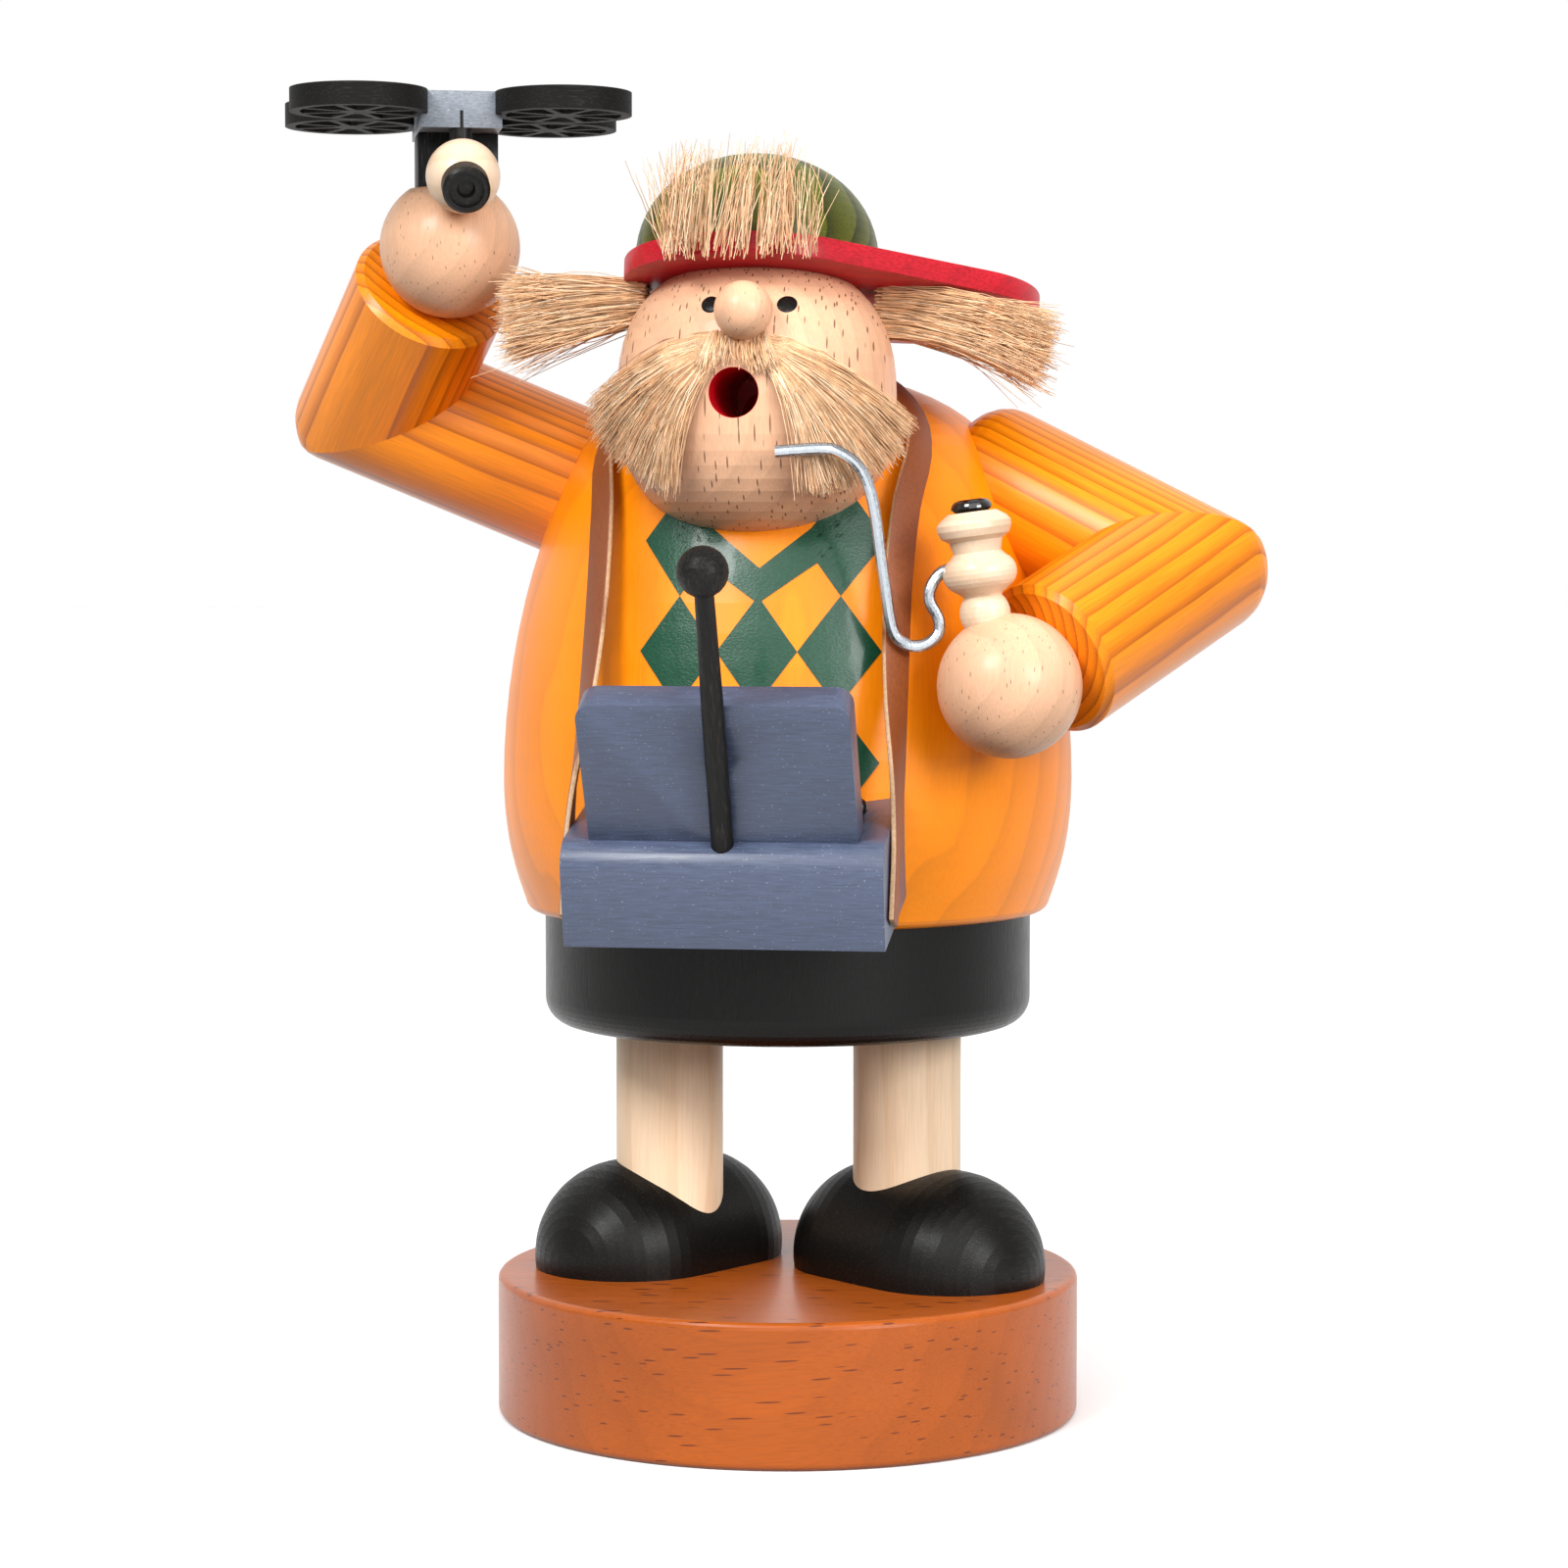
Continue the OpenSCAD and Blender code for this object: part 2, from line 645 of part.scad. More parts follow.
module pipe() {
    color("#e8cfaf") difference() {
        along(pipe_c, pipe_dir) rotate_extrude() polygon(concat(
            [[0, -pipe_peg_len], [pipe_peg_d / 2, -pipe_peg_len], [pipe_peg_d / 2, -3.6]],
            arc([0, 0], bead_r, -52, 42, 8),
            [[bead_r - 0.9, 3.3]],
            arc([bowl_r - 3.2, 7], 3.2, -60, 60, 8),
            [[bowl_r - 2.3, 10.6], [bowl_r - 1.8, 12.6], [bowl_r - 0.5, 13.4], [bowl_r, 14.6],
                [bowl_r, 15.6], [bowl_r - 0.6, 16.4], [bowl_r - 2.2, pipe_top_z], [0, pipe_top_z]]));
        along(pipe_c, pipe_dir) translate([0, 0, pipe_top_z - 2]) cylinder(r = tobacco_r + glue_fit, h = 4);
        along(stem_path[0], stem_path[1] - stem_path[0]) translate([0, 0, -3])
            cylinder(d = stem_d + 0.1, h = 9);
    }
}

module pipe_tobacco() {
    color("#0c0b0b") along(pipe_c, pipe_dir) translate([0, 0, pipe_top_z - 2]) rotate_extrude()
        polygon(concat([[0, 0]], arc([tobacco_r - 1.6, 2.6], 1.6, 0, 90, 6), [[0, 4.2]]));
}

// The wire starts inside the bowl, dips under, and climbs to the side of the mouth
stem_path = [for (p = [[-8.5, -0.5, 20], [-11.5, -1, 19.6], [-13.4, -1.7, 17], [-13.6, -1.9, 14.5],
    [-12.1, -1.7, 11.5], [-12.2, -1.9, 8.8], [-14.6, -2.6, 7], [-17.6, -3.4, 7.2], [-19.8, -4.1, 10],
    [-21.2, -5.8, 20], [-22.6, -7.4, 31], [-24.6, -9.4, 37], [-28, -12, 39.8], [-31, -13.4, 40.3],
    [-38.4, -14.6, 39.8]]) hand_c_l + p];

// Ring of a round wire at point i of a path, square to it
function wire_ring(p, i, r, sides) = let (t = tangent(p, i), u = unit(cross([0.1, 1, 0.1], t)), v = cross(t, u))
    [for (k = [0:sides - 1]) p[i] + r * cos(360 * k / sides) * u + r * sin(360 * k / sides) * v];

module pipe_stem() {
    path = smooth(stem_path, 4);
    color("#a8adb2") skin([for (i = [0:len(path) - 1]) wire_ring(path, i, stem_d / 2, 12)]);
}

// ---- Remote control ----

remote_y = -(jacket_r + remote_len / 2 - 0.6);
remote_c = [0, remote_y, jacket_z + remote_up];
module at_remote() { translate(remote_c) rotate([remote_pitch, 0, 0]) children(); }

box_back = 12;       // how far the box's blank reaches back before it is coped to the jacket
module box_blank() {
    h = remote_h / 2;
    l = remote_len / 2;
    c = remote_round;
    translate([-remote_w / 2, 0, 0]) rotate([90, 0, 90]) linear_extrude(remote_w)
        polygon(concat([[-l, -h], [l + box_back, -h], [l + box_back, h]], arc([c - l, h - c], c, 90, 180, 8)));
}

// The board and the antenna stand in the top of the box, leaning forward of the vertical
board_foot = [0, -remote_len / 2 + remote_round + board_t / 2 - 1, remote_h / 2];
antenna_foot = [0, -remote_len / 2 + 3.4, remote_h / 2 - 1];
board_tilt = board_lean - remote_pitch;
module at_board() { at_remote() translate(board_foot) rotate([board_tilt, 0, 0]) children(); }
board_tenon = 3;

module board_form(grow) {
    r = 3;
    w = board_w / 2 + grow;
    at_board() rotate([90, 0, 0]) translate([0, 0, -board_t / 2 - grow]) linear_extrude(board_t + 2 * grow)
        polygon(concat([[-w, -board_tenon - grow], [w, -board_tenon - grow]],
            arc([w - r, board_h - r], r, 0, 90, 6), arc([r - w, board_h - r], r, 90, 180, 6)));
}

antenna_dir = [0.03, -sin(board_lean + 3), cos(board_lean + 3)];
antenna_p = remote_c + [0, antenna_foot[1] * cos(remote_pitch) - antenna_foot[2] * sin(remote_pitch),
    antenna_foot[1] * sin(remote_pitch) + antenna_foot[2] * cos(remote_pitch)];
antenna_peg = 5;

joystick_x = board_w / 2 - 1.5;
joystick_peg_d = 2;
module at_joystick(side) {
    at_remote() translate([side * joystick_x, board_foot[1] + board_t / 2 + 4.4, remote_h / 2]) children();
}
module joystick_hole(side) {
    at_joystick(side) translate([0, 0, -4]) cylinder(d = joystick_peg_d + 2 * glue_fit, h = 5);
}

module remote_box() {
    color("#5b6675") difference() {
        at_remote() box_blank();
        jacket_form();
        board_form(glue_fit);
        along(antenna_p, antenna_dir) translate([0, 0, -antenna_peg])
            cylinder(d = antenna_d + 2 * glue_fit, h = 3 * antenna_peg);
        joystick_hole(-1);
        joystick_hole(1);
    }
}

module remote_board() {
    color("#5f6a78") difference() {
        board_form(0);
        along(antenna_p, antenna_dir) translate([0, 0, -antenna_peg])
            cylinder(d = antenna_d + 2 * glue_fit, h = antenna_len);
    }
}

module antenna() {
    r = antenna_d / 2;
    ball = antenna_ball_d / 2;
    neck = asin((r - 0.3) / ball);
    color("#1b1918") along(antenna_p, antenna_dir) rotate_extrude() polygon(concat(
        [[0, 0.3 - antenna_peg], [r, 0.3 - antenna_peg], [r, antenna_len / 2]],
        arc([0, antenna_len], ball, neck - 90, 90, 12)));
}

module joystick(side) {
    color("#141414") at_joystick(side) {
        translate([0, 0, -3.8]) cylinder(d = joystick_peg_d, h = 6);
        translate([0, 0, 2.6]) sphere(d = 3.4);
    }
}
module joystick_right() { joystick(-1); }
module joystick_left() { joystick(1); }

// ---- Strap ----

// Down the figure's left side: points from the back of the neck, and the way the leather faces
side_x = remote_w / 2 + strap_t / 2 + 0.25;
strap_points = [[0, -6.9, 195.2], [9, -8.4, 194.5], [18.4, -13.3, 191.3], [25.6, -21.5, 185], [28.2, -30.5, 177.6],
    [27, -38.5, 168], [26.4, -44.5, 156], [26.5, -48.5, 145], [27, -53, 133], [28, -58.5, 120],
    [side_x, -62.2, 109], [side_x, -64.2, 101], [side_x, -65.4, 97]];
strap_faces = [[0, 0.15, 1], [0.15, 0, 1], [0.35, -0.2, 0.9], [0.6, -0.35, 0.75], [0.75, -0.5, 0.42],
    [0.66, -0.72, 0.25], [0.66, -0.74, 0.2], [0.72, -0.68, 0.2], [0.84, -0.53, 0.12], [0.98, -0.2, 0.05],
    [1, 0, 0], [1, 0, 0], [1, 0, 0]];
function flip(p) = [-p[0], p[1], p[2]];
// Both sides of the strap as one list, from the right end over the neck to the left end
function both(p) = concat([for (i = [len(p) - 1:-1:1]) flip(p[i])], p);

// Cross-section of the strap: across it lies w, and n is the way it faces
function strap_ring(path, faces, i) = let (t = tangent(path, i), w = unit(cross(t, faces[i])), n = cross(w, t),
    a = w * strap_w / 2, b = n * strap_t / 2) [for (c = [a + b, b - a, -a - b, a - b]) path[i] + c];

module strap() {
    path = smooth(both(strap_points), 3);
    faces = smooth(both(strap_faces), 3);
    color("#7a3e1e") skin([for (i = [0:len(path) - 1]) strap_ring(path, faces, i)]);
}

base();
shoe_right();
shoe_left();
leg_right();
leg_left();
trousers();
incense_plate();
plate_tack();
jacket();
head();
nose();
cap_dome();
cap_brim();
moustache();
hair_front();
hair_right();
hair_left();
upper_arm_right();
forearm_right();
hand_right();
upper_arm_left();
forearm_left();
hand_left();
shoulder_dowels();
elbow_dowels();
wrist_dowels();
drone_block();
drone_post();
rotor_front_right();
rotor_front_left();
rotor_rear_right();
rotor_rear_left();
camera_neck();
camera_ball();
camera_lens();
pipe();
pipe_tobacco();
pipe_stem();
remote_box();
remote_board();
antenna();
joystick_right();
joystick_left();
strap();
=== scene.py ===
import math
import random

import bmesh
import bpy
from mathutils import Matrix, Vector
from mathutils.bvhtree import BVHTree


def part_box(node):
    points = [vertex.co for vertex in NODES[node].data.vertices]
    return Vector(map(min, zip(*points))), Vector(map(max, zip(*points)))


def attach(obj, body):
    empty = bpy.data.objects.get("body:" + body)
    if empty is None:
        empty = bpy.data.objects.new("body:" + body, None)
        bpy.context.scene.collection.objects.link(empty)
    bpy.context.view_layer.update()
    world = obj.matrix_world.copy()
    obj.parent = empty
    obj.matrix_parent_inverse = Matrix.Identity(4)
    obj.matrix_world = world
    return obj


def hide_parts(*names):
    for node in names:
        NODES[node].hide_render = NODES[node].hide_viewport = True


bl_info = {
    "name": "Incense Smoker Figure",
    "version": (1, 0, 0),
    "blender": (4, 5, 0),
    "location": "View3D > Sidebar > Smoker",
    "description": "Finishes a turned wooden drone pilot: glazes, hair, leather strap and stage",
    "category": "Object",
}

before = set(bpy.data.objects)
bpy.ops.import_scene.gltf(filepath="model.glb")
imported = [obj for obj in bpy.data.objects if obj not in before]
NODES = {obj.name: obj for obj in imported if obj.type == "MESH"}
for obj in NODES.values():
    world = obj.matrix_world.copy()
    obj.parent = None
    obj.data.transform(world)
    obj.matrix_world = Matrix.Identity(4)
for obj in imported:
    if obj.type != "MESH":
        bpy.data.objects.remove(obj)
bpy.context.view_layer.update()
MM = 0.001


# ---------------------------------------------------------------- places taken from the model's nodes

def middle(node):
    """The middle of a node's box."""
    low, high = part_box(node)
    return (Vector(low) + Vector(high)) / 2


HEAD_LOW, HEAD_HIGH = (Vector(c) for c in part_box("head"))
NOSE_LOW, NOSE_HIGH = (Vector(c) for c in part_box("nose"))
JACKET_LOW = Vector(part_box("jacket")[0])
NOSE_X = (NOSE_LOW.x + NOSE_HIGH.x) / 2
HEAD_R = (HEAD_HIGH.x - HEAD_LOW.x) / 2
HEAD_AXIS_Y = HEAD_LOW.y + HEAD_R
HEAD_CENTRE = Vector((0, HEAD_AXIS_Y, HEAD_LOW.z + HEAD_R))
HEAD_POWER = 2.4       # the head is a superellipse of this power turned about a vertical axis
NOSE_Z = NOSE_HIGH.z - (NOSE_HIGH.x - NOSE_LOW.x) / 2
EYE_Z = NOSE_Z + 1.2 * MM
RAY_START = 10 * MM     # rays that look for a surface start this far in front of its box


def skin_of(node):
    """A tree of a CAD node's surface, for finding points on it."""
    data = NODES[node].data
    return BVHTree.FromPolygons([v.co for v in data.vertices], [p.vertices for p in data.polygons])


# The way each arm piece's grain runs: its turn about Z and its rise, in degrees
ARM_GRAIN = {
    "upper_arm_right": (191.3, 22.5),
    "forearm_right": (-51.7, 39.9),
    "upper_arm_left": (-23.0, -24.9),
    "forearm_left": (-127.8, -23.9),
}


def head_radius(z):
    """Radius of the head's outline at a height."""
    up = min(abs(z - HEAD_CENTRE.z) / HEAD_R, 0.995)        # held just short of the poles
    return HEAD_R * (1 - up ** HEAD_POWER) ** (1 / HEAD_POWER)


HEAD_SKIN = skin_of("head")


# ---------------------------------------------------------------- settings

def colour_setting(name, hexa, description):
    """A colour property whose default is an sRGB hex value."""
    return bpy.props.FloatVectorProperty(
        name=name, description=description, subtype="COLOR", size=3, min=0, max=1, default=linear(hexa)[:3])


def linear(hexa):
    """Linear RGBA of an sRGB hex colour."""
    parts = [int(hexa[i:i + 2], 16) / 255 for i in (0, 2, 4)]
    return tuple([p / 12.92 if p <= 0.04045 else ((p + 0.055) / 1.055) ** 2.4 for p in parts] + [1.0])


class FigureColours(bpy.types.PropertyGroup):
    """Colours of the glazes and stains."""
    jacket: colour_setting("Jacket glaze", "F88B00", "Orange glaze on the jacket")
    pine: colour_setting("Arm glaze", "F88E08", "Light wood between the growth rings of the arms")
    pine_rings: colour_setting("Arm rings", "A04800", "Growth rings of the arms under the glaze")
    beech: colour_setting("Beech", "E8B692", "Head, nose and hands")
    base: colour_setting("Base stain", "AA5214", "Stained beech of the base")
    cap: colour_setting("Cap glaze", "565A08", "Green glaze of the dome")
    brim: colour_setting("Brim stain", "BE1426", "Red stain of the brim")
    diamonds: colour_setting("Diamonds", "06402A", "Paint of the jumper's diamonds")
    remote: colour_setting("Remote stain", "48526A", "Blue-grey stain of the remote")
    hair: colour_setting("Hair", "DFB489", "Middle colour of the plant fibre")
    leather: colour_setting("Strap", "7E3E12", "Smooth side of the leather")


class HairSizes(bpy.types.PropertyGroup):
    """Sizes of the glued fibre bundles."""
    strand: bpy.props.FloatProperty(
        name="Strand radius", description="Radius of one fibre", default=0.085 * MM, min=0.00003,
        unit="LENGTH", precision=6)
    wing: bpy.props.IntProperty(
        name="Moustache strands", description="Fibres in each wing of the moustache", default=1500, min=50)
    side: bpy.props.IntProperty(
        name="Side strands", description="Fibres in each side tuft", default=1500, min=50)
    fringe: bpy.props.IntProperty(
        name="Front strands", description="Fibres in the tuft on the brim", default=300, min=50)


class StageSettings(bpy.types.PropertyGroup):
    """The camera's turn, pitch, distance, height and lens."""
    turn: bpy.props.FloatProperty(
        name="Turn", description="Camera's turn round the figure", default=math.radians(9), subtype="ANGLE")
    pitch: bpy.props.FloatProperty(
        name="Pitch", description="Camera's downward pitch", default=math.radians(3.3), subtype="ANGLE")
    distance: bpy.props.FloatProperty(
        name="Distance", description="Camera to the figure's axis", default=0.718, unit="LENGTH")
    height: bpy.props.FloatProperty(
        name="Height", description="Camera above the floor", default=0.158, unit="LENGTH")
    lens: bpy.props.FloatProperty(
        name="Lens", description="Focal length in millimetres on a 36 mm sensor", default=88.9)


def rgba(colour):
    """A colour property as RGBA."""
    return (*colour, 1.0)


def shade(colour, factor):
    """A colour made darker or lighter by a factor."""
    return (*[min(1.0, c * factor) for c in colour[:3]], 1.0)


# ---------------------------------------------------------------- materials

def add(tree, kind, inputs=None, **settings):
    """Adds one node: settings are its attributes, and inputs are values or other nodes' outputs."""
    node = tree.nodes.new(kind)
    for name, value in settings.items():
        setattr(node, name, value)
    for key, value in (inputs or {}).items():
        if isinstance(value, bpy.types.NodeSocket):
            tree.links.new(value, node.inputs[key])
        else:
            node.inputs[key].default_value = value
    return node


SOCKETS = {"base": "Base Color", "roughness": "Roughness", "metallic": "Metallic", "ior": "IOR",
           "coat": "Coat Weight", "coat_roughness": "Coat Roughness", "specular": "Specular IOR Level"}


NOISE_SPAN = (0.3, 0.7)     # nearly all values of a noise lie between these


def new_material(name, **shader_values):
    """An empty material with its Principled shader, whose own sockets hold the uniform values."""
    material = bpy.data.materials.new(name)
    material.use_nodes = True
    shader = material.node_tree.nodes["Principled BSDF"]
    for key, value in shader_values.items():
        shader.inputs[SOCKETS[key]].default_value = value
    return material, material.node_tree, shader


def grain_coordinates(tree, turn, rise, centre):
    """Object coordinates in millimetres in a frame whose Z runs along the grain."""
    source = add(tree, "ShaderNodeTexCoord")
    towards = Vector((math.cos(rise) * math.cos(turn), math.cos(rise) * math.sin(turn), math.sin(rise)))
    mapping = add(tree, "ShaderNodeMapping", {
        "Vector": source.outputs["Object"], "Location": centre,
        "Rotation": towards.to_track_quat("Z", "Y").to_euler(), "Scale": (MM, MM, MM)},
        vector_type="TEXTURE")
    return mapping.outputs["Vector"]


def ranged(tree, value, start, end, low=0.0, high=1.0, kind="LINEAR"):
    """A value carried over from the range start to end to the range low to high."""
    return add(tree, "ShaderNodeMapRange", {
        "Value": value, "From Min": start, "From Max": end, "To Min": low, "To Max": high},
        interpolation_type=kind).outputs["Result"]


def stretched_noise(tree, place, size_mm, detail=2.0):
    """Noise whose grains measure size_mm across, across and along the grain."""
    squeezed = add(tree, "ShaderNodeVectorMath", {
        0: place, 1: tuple(1 / s for s in size_mm)}, operation="MULTIPLY")
    return add(tree, "ShaderNodeTexNoise", {
        "Vector": squeezed.outputs[0], "Scale": 1.0, "Detail": detail, "Roughness": 0.55}).outputs["Fac"]


def ring_pattern(tree, place, ring_mm, waver_mm, sharp):
    """Growth rings round the grain axis: 0 in early wood, rising to 1 at each late-wood line."""
    flat = add(tree, "ShaderNodeVectorMath", {0: place, 1: (1.0, 1.0, 0.0)}, operation="MULTIPLY")
    radius = add(tree, "ShaderNodeVectorMath", {0: flat.outputs[0]}, operation="LENGTH")
    waver = stretched_noise(tree, place, (14, 14, 60), 1.0)
    shift = add(tree, "ShaderNodeMath", {0: waver, 1: waver_mm, 2: radius.outputs["Value"]},
                operation="MULTIPLY_ADD")
    turns = add(tree, "ShaderNodeMath", {0: shift.outputs[0], 1: ring_mm}, operation="DIVIDE")
    part = add(tree, "ShaderNodeMath", {0: turns.outputs[0]}, operation="FRACT")
    rise = add(tree, "ShaderNodeMath", {0: part.outputs[0], 1: sharp}, operation="POWER")
    # the late wood ends abruptly, softened over a twelfth of a ring
    fall = ranged(tree, part.outputs[0], 0.92, 1.0, 1.0, 0.0, "SMOOTHSTEP")
    return add(tree, "ShaderNodeMath", {0: rise.outputs[0], 1: fall}, operation="MULTIPLY").outputs[0]


def ray_flecks(tree, place, cell_mm, half_mm):
    """Short dark dashes of the wood's rays, one in each cell, each half_mm to both sides of its middle."""
    squeezed = add(tree, "ShaderNodeVectorMath", {
        0: place, 1: tuple(1 / c for c in cell_mm)}, operation="MULTIPLY")
    cells = add(tree, "ShaderNodeTexVoronoi", {
        "Vector": squeezed.outputs[0], "Scale": 1.0, "Randomness": 1.0}, feature="F1")
    away = add(tree, "ShaderNodeVectorMath", {
        0: squeezed.outputs[0], 1: cells.outputs["Position"]}, operation="SUBTRACT")
    scaled = add(tree, "ShaderNodeVectorMath", {
        0: away.outputs[0], 1: tuple(c / h for c, h in zip(cell_mm, half_mm))}, operation="MULTIPLY")
    reach = add(tree, "ShaderNodeVectorMath", {0: scaled.outputs[0]}, operation="LENGTH")
    return ranged(tree, reach.outputs["Value"], 0.75, 1.1, 1.0, 0.0, "SMOOTHSTEP")


def mixed(tree, factor, first, second, amount=1.0, blend="MIX"):
    """Two colours mixed by a factor, which is first weakened to an amount."""
    if isinstance(factor, bpy.types.NodeSocket) and amount != 1.0:
        factor = add(tree, "ShaderNodeMath", {0: factor, 1: amount}, operation="MULTIPLY").outputs[0]
    return add(tree, "ShaderNodeMix", {0: factor, 6: first, 7: second},
               data_type="RGBA", blend_type=blend).outputs[2]


def surface_bump(tree, shader, height, depth_mm, strength=1.0):
    """Relief of a given depth on a shader."""
    bump = add(tree, "ShaderNodeBump", {
        "Height": height, "Distance": depth_mm * MM, "Strength": strength})
    tree.links.new(bump.outputs["Normal"], shader.inputs["Normal"])


def finish_wood(name, light, dark, grain=(0, 90), centre=(0, 0, 0), ring_mm=3.0, waver_mm=4.0, sharp=3.0,
                rings=0.5, flecks=None, fleck_tint=None, fibre=0.25, roughness=0.45, coat=0.25,
                coat_roughness=0.2, relief_mm=0.05):
    """Wood under a finish: growth rings, fine fibre along the grain, ray flecks and a little relief."""
    material, tree, shader = new_material(
        name, ior=1.5, coat=coat, coat_roughness=coat_roughness, specular=0.22)
    place = grain_coordinates(tree, math.radians(grain[0]), math.radians(grain[1]), centre)
    ring = ring_pattern(tree, place, ring_mm, waver_mm, sharp)
    threads = stretched_noise(tree, place, (0.35, 0.35, 9.0), 3.0)
    patches = stretched_noise(tree, place, (16, 16, 34), 1.0)
    tint = mixed(tree, ring, light, dark, rings)
    contrast = ranged(tree, threads, *NOISE_SPAN, 1 - fibre, 1 + fibre * 0.6)
    tint = mixed(tree, 1.0, tint, contrast, blend="MULTIPLY")
    tint = mixed(tree, 1.0, tint, ranged(tree, patches, *NOISE_SPAN, 0.9, 1.08), blend="MULTIPLY")
    if flecks:
        dashes = ray_flecks(tree, place, *flecks)
        tint = mixed(tree, dashes, tint, fleck_tint, 0.8)
    tree.links.new(tint, shader.inputs["Base Color"])
    gloss = ranged(tree, threads, *NOISE_SPAN, roughness - 0.06, roughness + 0.08)
    tree.links.new(gloss, shader.inputs["Roughness"])
    surface_bump(tree, shader, threads, relief_mm, 0.35)
    return material


# Short dark dashes of beech's rays: the cell that holds one, and half of its size, in millimetres.
# The third number of each lies along the grain.
BEECH_FLECKS = ((2.2, 1.4, 5.6), (0.16, 0.5, 2.2))
BASE_FLECKS = ((2.2, 2.7, 8.0), (0.55, 0.17, 2.8))
HAND_FLECKS = ((1.5, 1.0, 2.6), (0.08, 0.2, 0.55))


def beech(name, colour, centre, grain=(0, 90), flecks=BEECH_FLECKS):
    """Clear lacquered beech: pinkish, with even pores and short brown rays."""
    return finish_wood(
        name, rgba(colour), shade(colour, 0.8), grain=grain, centre=centre, ring_mm=3.4, waver_mm=5,
        sharp=2.0, rings=0.55, flecks=flecks, fleck_tint=linear("5A2E16"), fibre=0.09,
        roughness=0.44, coat=0.2, coat_roughness=0.22)


MOUTH_R = 4.32 * MM     # just over the bore's own radius


def beech_head(colour):
    """The head's beech, with the bored mouth painted red inside."""
    material = beech("lacquered_beech_head", colour, HEAD_CENTRE + Vector((0.03, 0.02, 0)))
    tree = material.node_tree
    shader = tree.nodes["Principled BSDF"]
    plain = shader.inputs["Base Color"].links[0].from_socket
    source = add(tree, "ShaderNodeTexCoord")
    from_axis = add(tree, "ShaderNodeVectorMath", {0: source.outputs["Object"], 1: HEAD_CENTRE},
                    operation="SUBTRACT")
    across = add(tree, "ShaderNodeVectorMath", {0: from_axis.outputs[0], 1: (1, 0, 1)},
                 operation="MULTIPLY")
    reach = add(tree, "ShaderNodeVectorMath", {0: across.outputs[0]}, operation="LENGTH")
    inside = add(tree, "ShaderNodeMath", {0: reach.outputs["Value"], 1: MOUTH_R}, operation="LESS_THAN")
    red = mixed(tree, inside.outputs[0], plain, linear("C40A1C"))
    tree.links.new(red, shader.inputs["Base Color"])
    return material


def sparkle_paint(name, colour, grit_mm, sparkle, roughness):
    """Stain or paint with fine pale specks, such as mica in a lacquer or dust in a stain."""
    material, tree, shader = new_material(name, ior=1.5, coat=0.15, coat_roughness=0.3)
    place = grain_coordinates(tree, 0, 0, (0, 0, 0))
    cloth = stretched_noise(tree, place, (0.3, 0.3, 4.0), 3.0)
    specks = stretched_noise(tree, place, (grit_mm, grit_mm, grit_mm * 1.6), 1.0)
    bright = ranged(tree, specks, 0.68, 0.78, kind="SMOOTHSTEP")
    tone = ranged(tree, cloth, *NOISE_SPAN, 0.7, 1.2)
    tint = mixed(tree, 1.0, rgba(colour), tone, blend="MULTIPLY")
    tint = mixed(tree, bright, tint, linear("C9CED6"), sparkle)
    tree.links.new(tint, shader.inputs["Base Color"])
    gloss = ranged(tree, cloth, *NOISE_SPAN, roughness - 0.07, roughness + 0.1)
    tree.links.new(gloss, shader.inputs["Roughness"])
    surface_bump(tree, shader, cloth, 0.06, 0.5)
    return material


def black_stain(name, grain, roughness=0.5, coat=0.1, pale="4A443F"):
    """Black water stain on open-pored wood: the pores catch a little light."""
    material, tree, shader = new_material(name, ior=1.5, coat=coat, coat_roughness=0.28, specular=0.14)
    place = grain_coordinates(tree, math.radians(grain[0]), math.radians(grain[1]), (0, 0, 0))
    pores = stretched_noise(tree, place, (0.28, 0.28, 3.5), 3.0)
    lit = ranged(tree, pores, 0.52, 0.8, kind="SMOOTHSTEP")
    tint = mixed(tree, lit, linear("0A0908"), linear(pale), 0.5)
    tree.links.new(tint, shader.inputs["Base Color"])
    gloss = ranged(tree, pores, *NOISE_SPAN, roughness + 0.1, roughness - 0.08)
    tree.links.new(gloss, shader.inputs["Roughness"])
    surface_bump(tree, shader, pores, 0.09, 0.6)
    return material


def diamond_paint(colour):
    """Screen-printed enamel: glossy, with the orange-peel and thread marks of the screen."""
    material, tree, shader = new_material(
        "screen_printed_enamel", ior=1.52, coat=0.25, coat_roughness=0.12, specular=0.3, roughness=0.34)
    place = grain_coordinates(tree, 0, math.radians(90), (0, 0, 0))
    peel = stretched_noise(tree, place, (0.55, 0.55, 0.4), 2.0)
    tone = ranged(tree, peel, 0.35, 0.7, 0.85, 1.25)
    tint = mixed(tree, 1.0, rgba(colour), tone, blend="MULTIPLY")
    tree.links.new(tint, shader.inputs["Base Color"])
    surface_bump(tree, shader, peel, 0.12, 0.55)
    return material


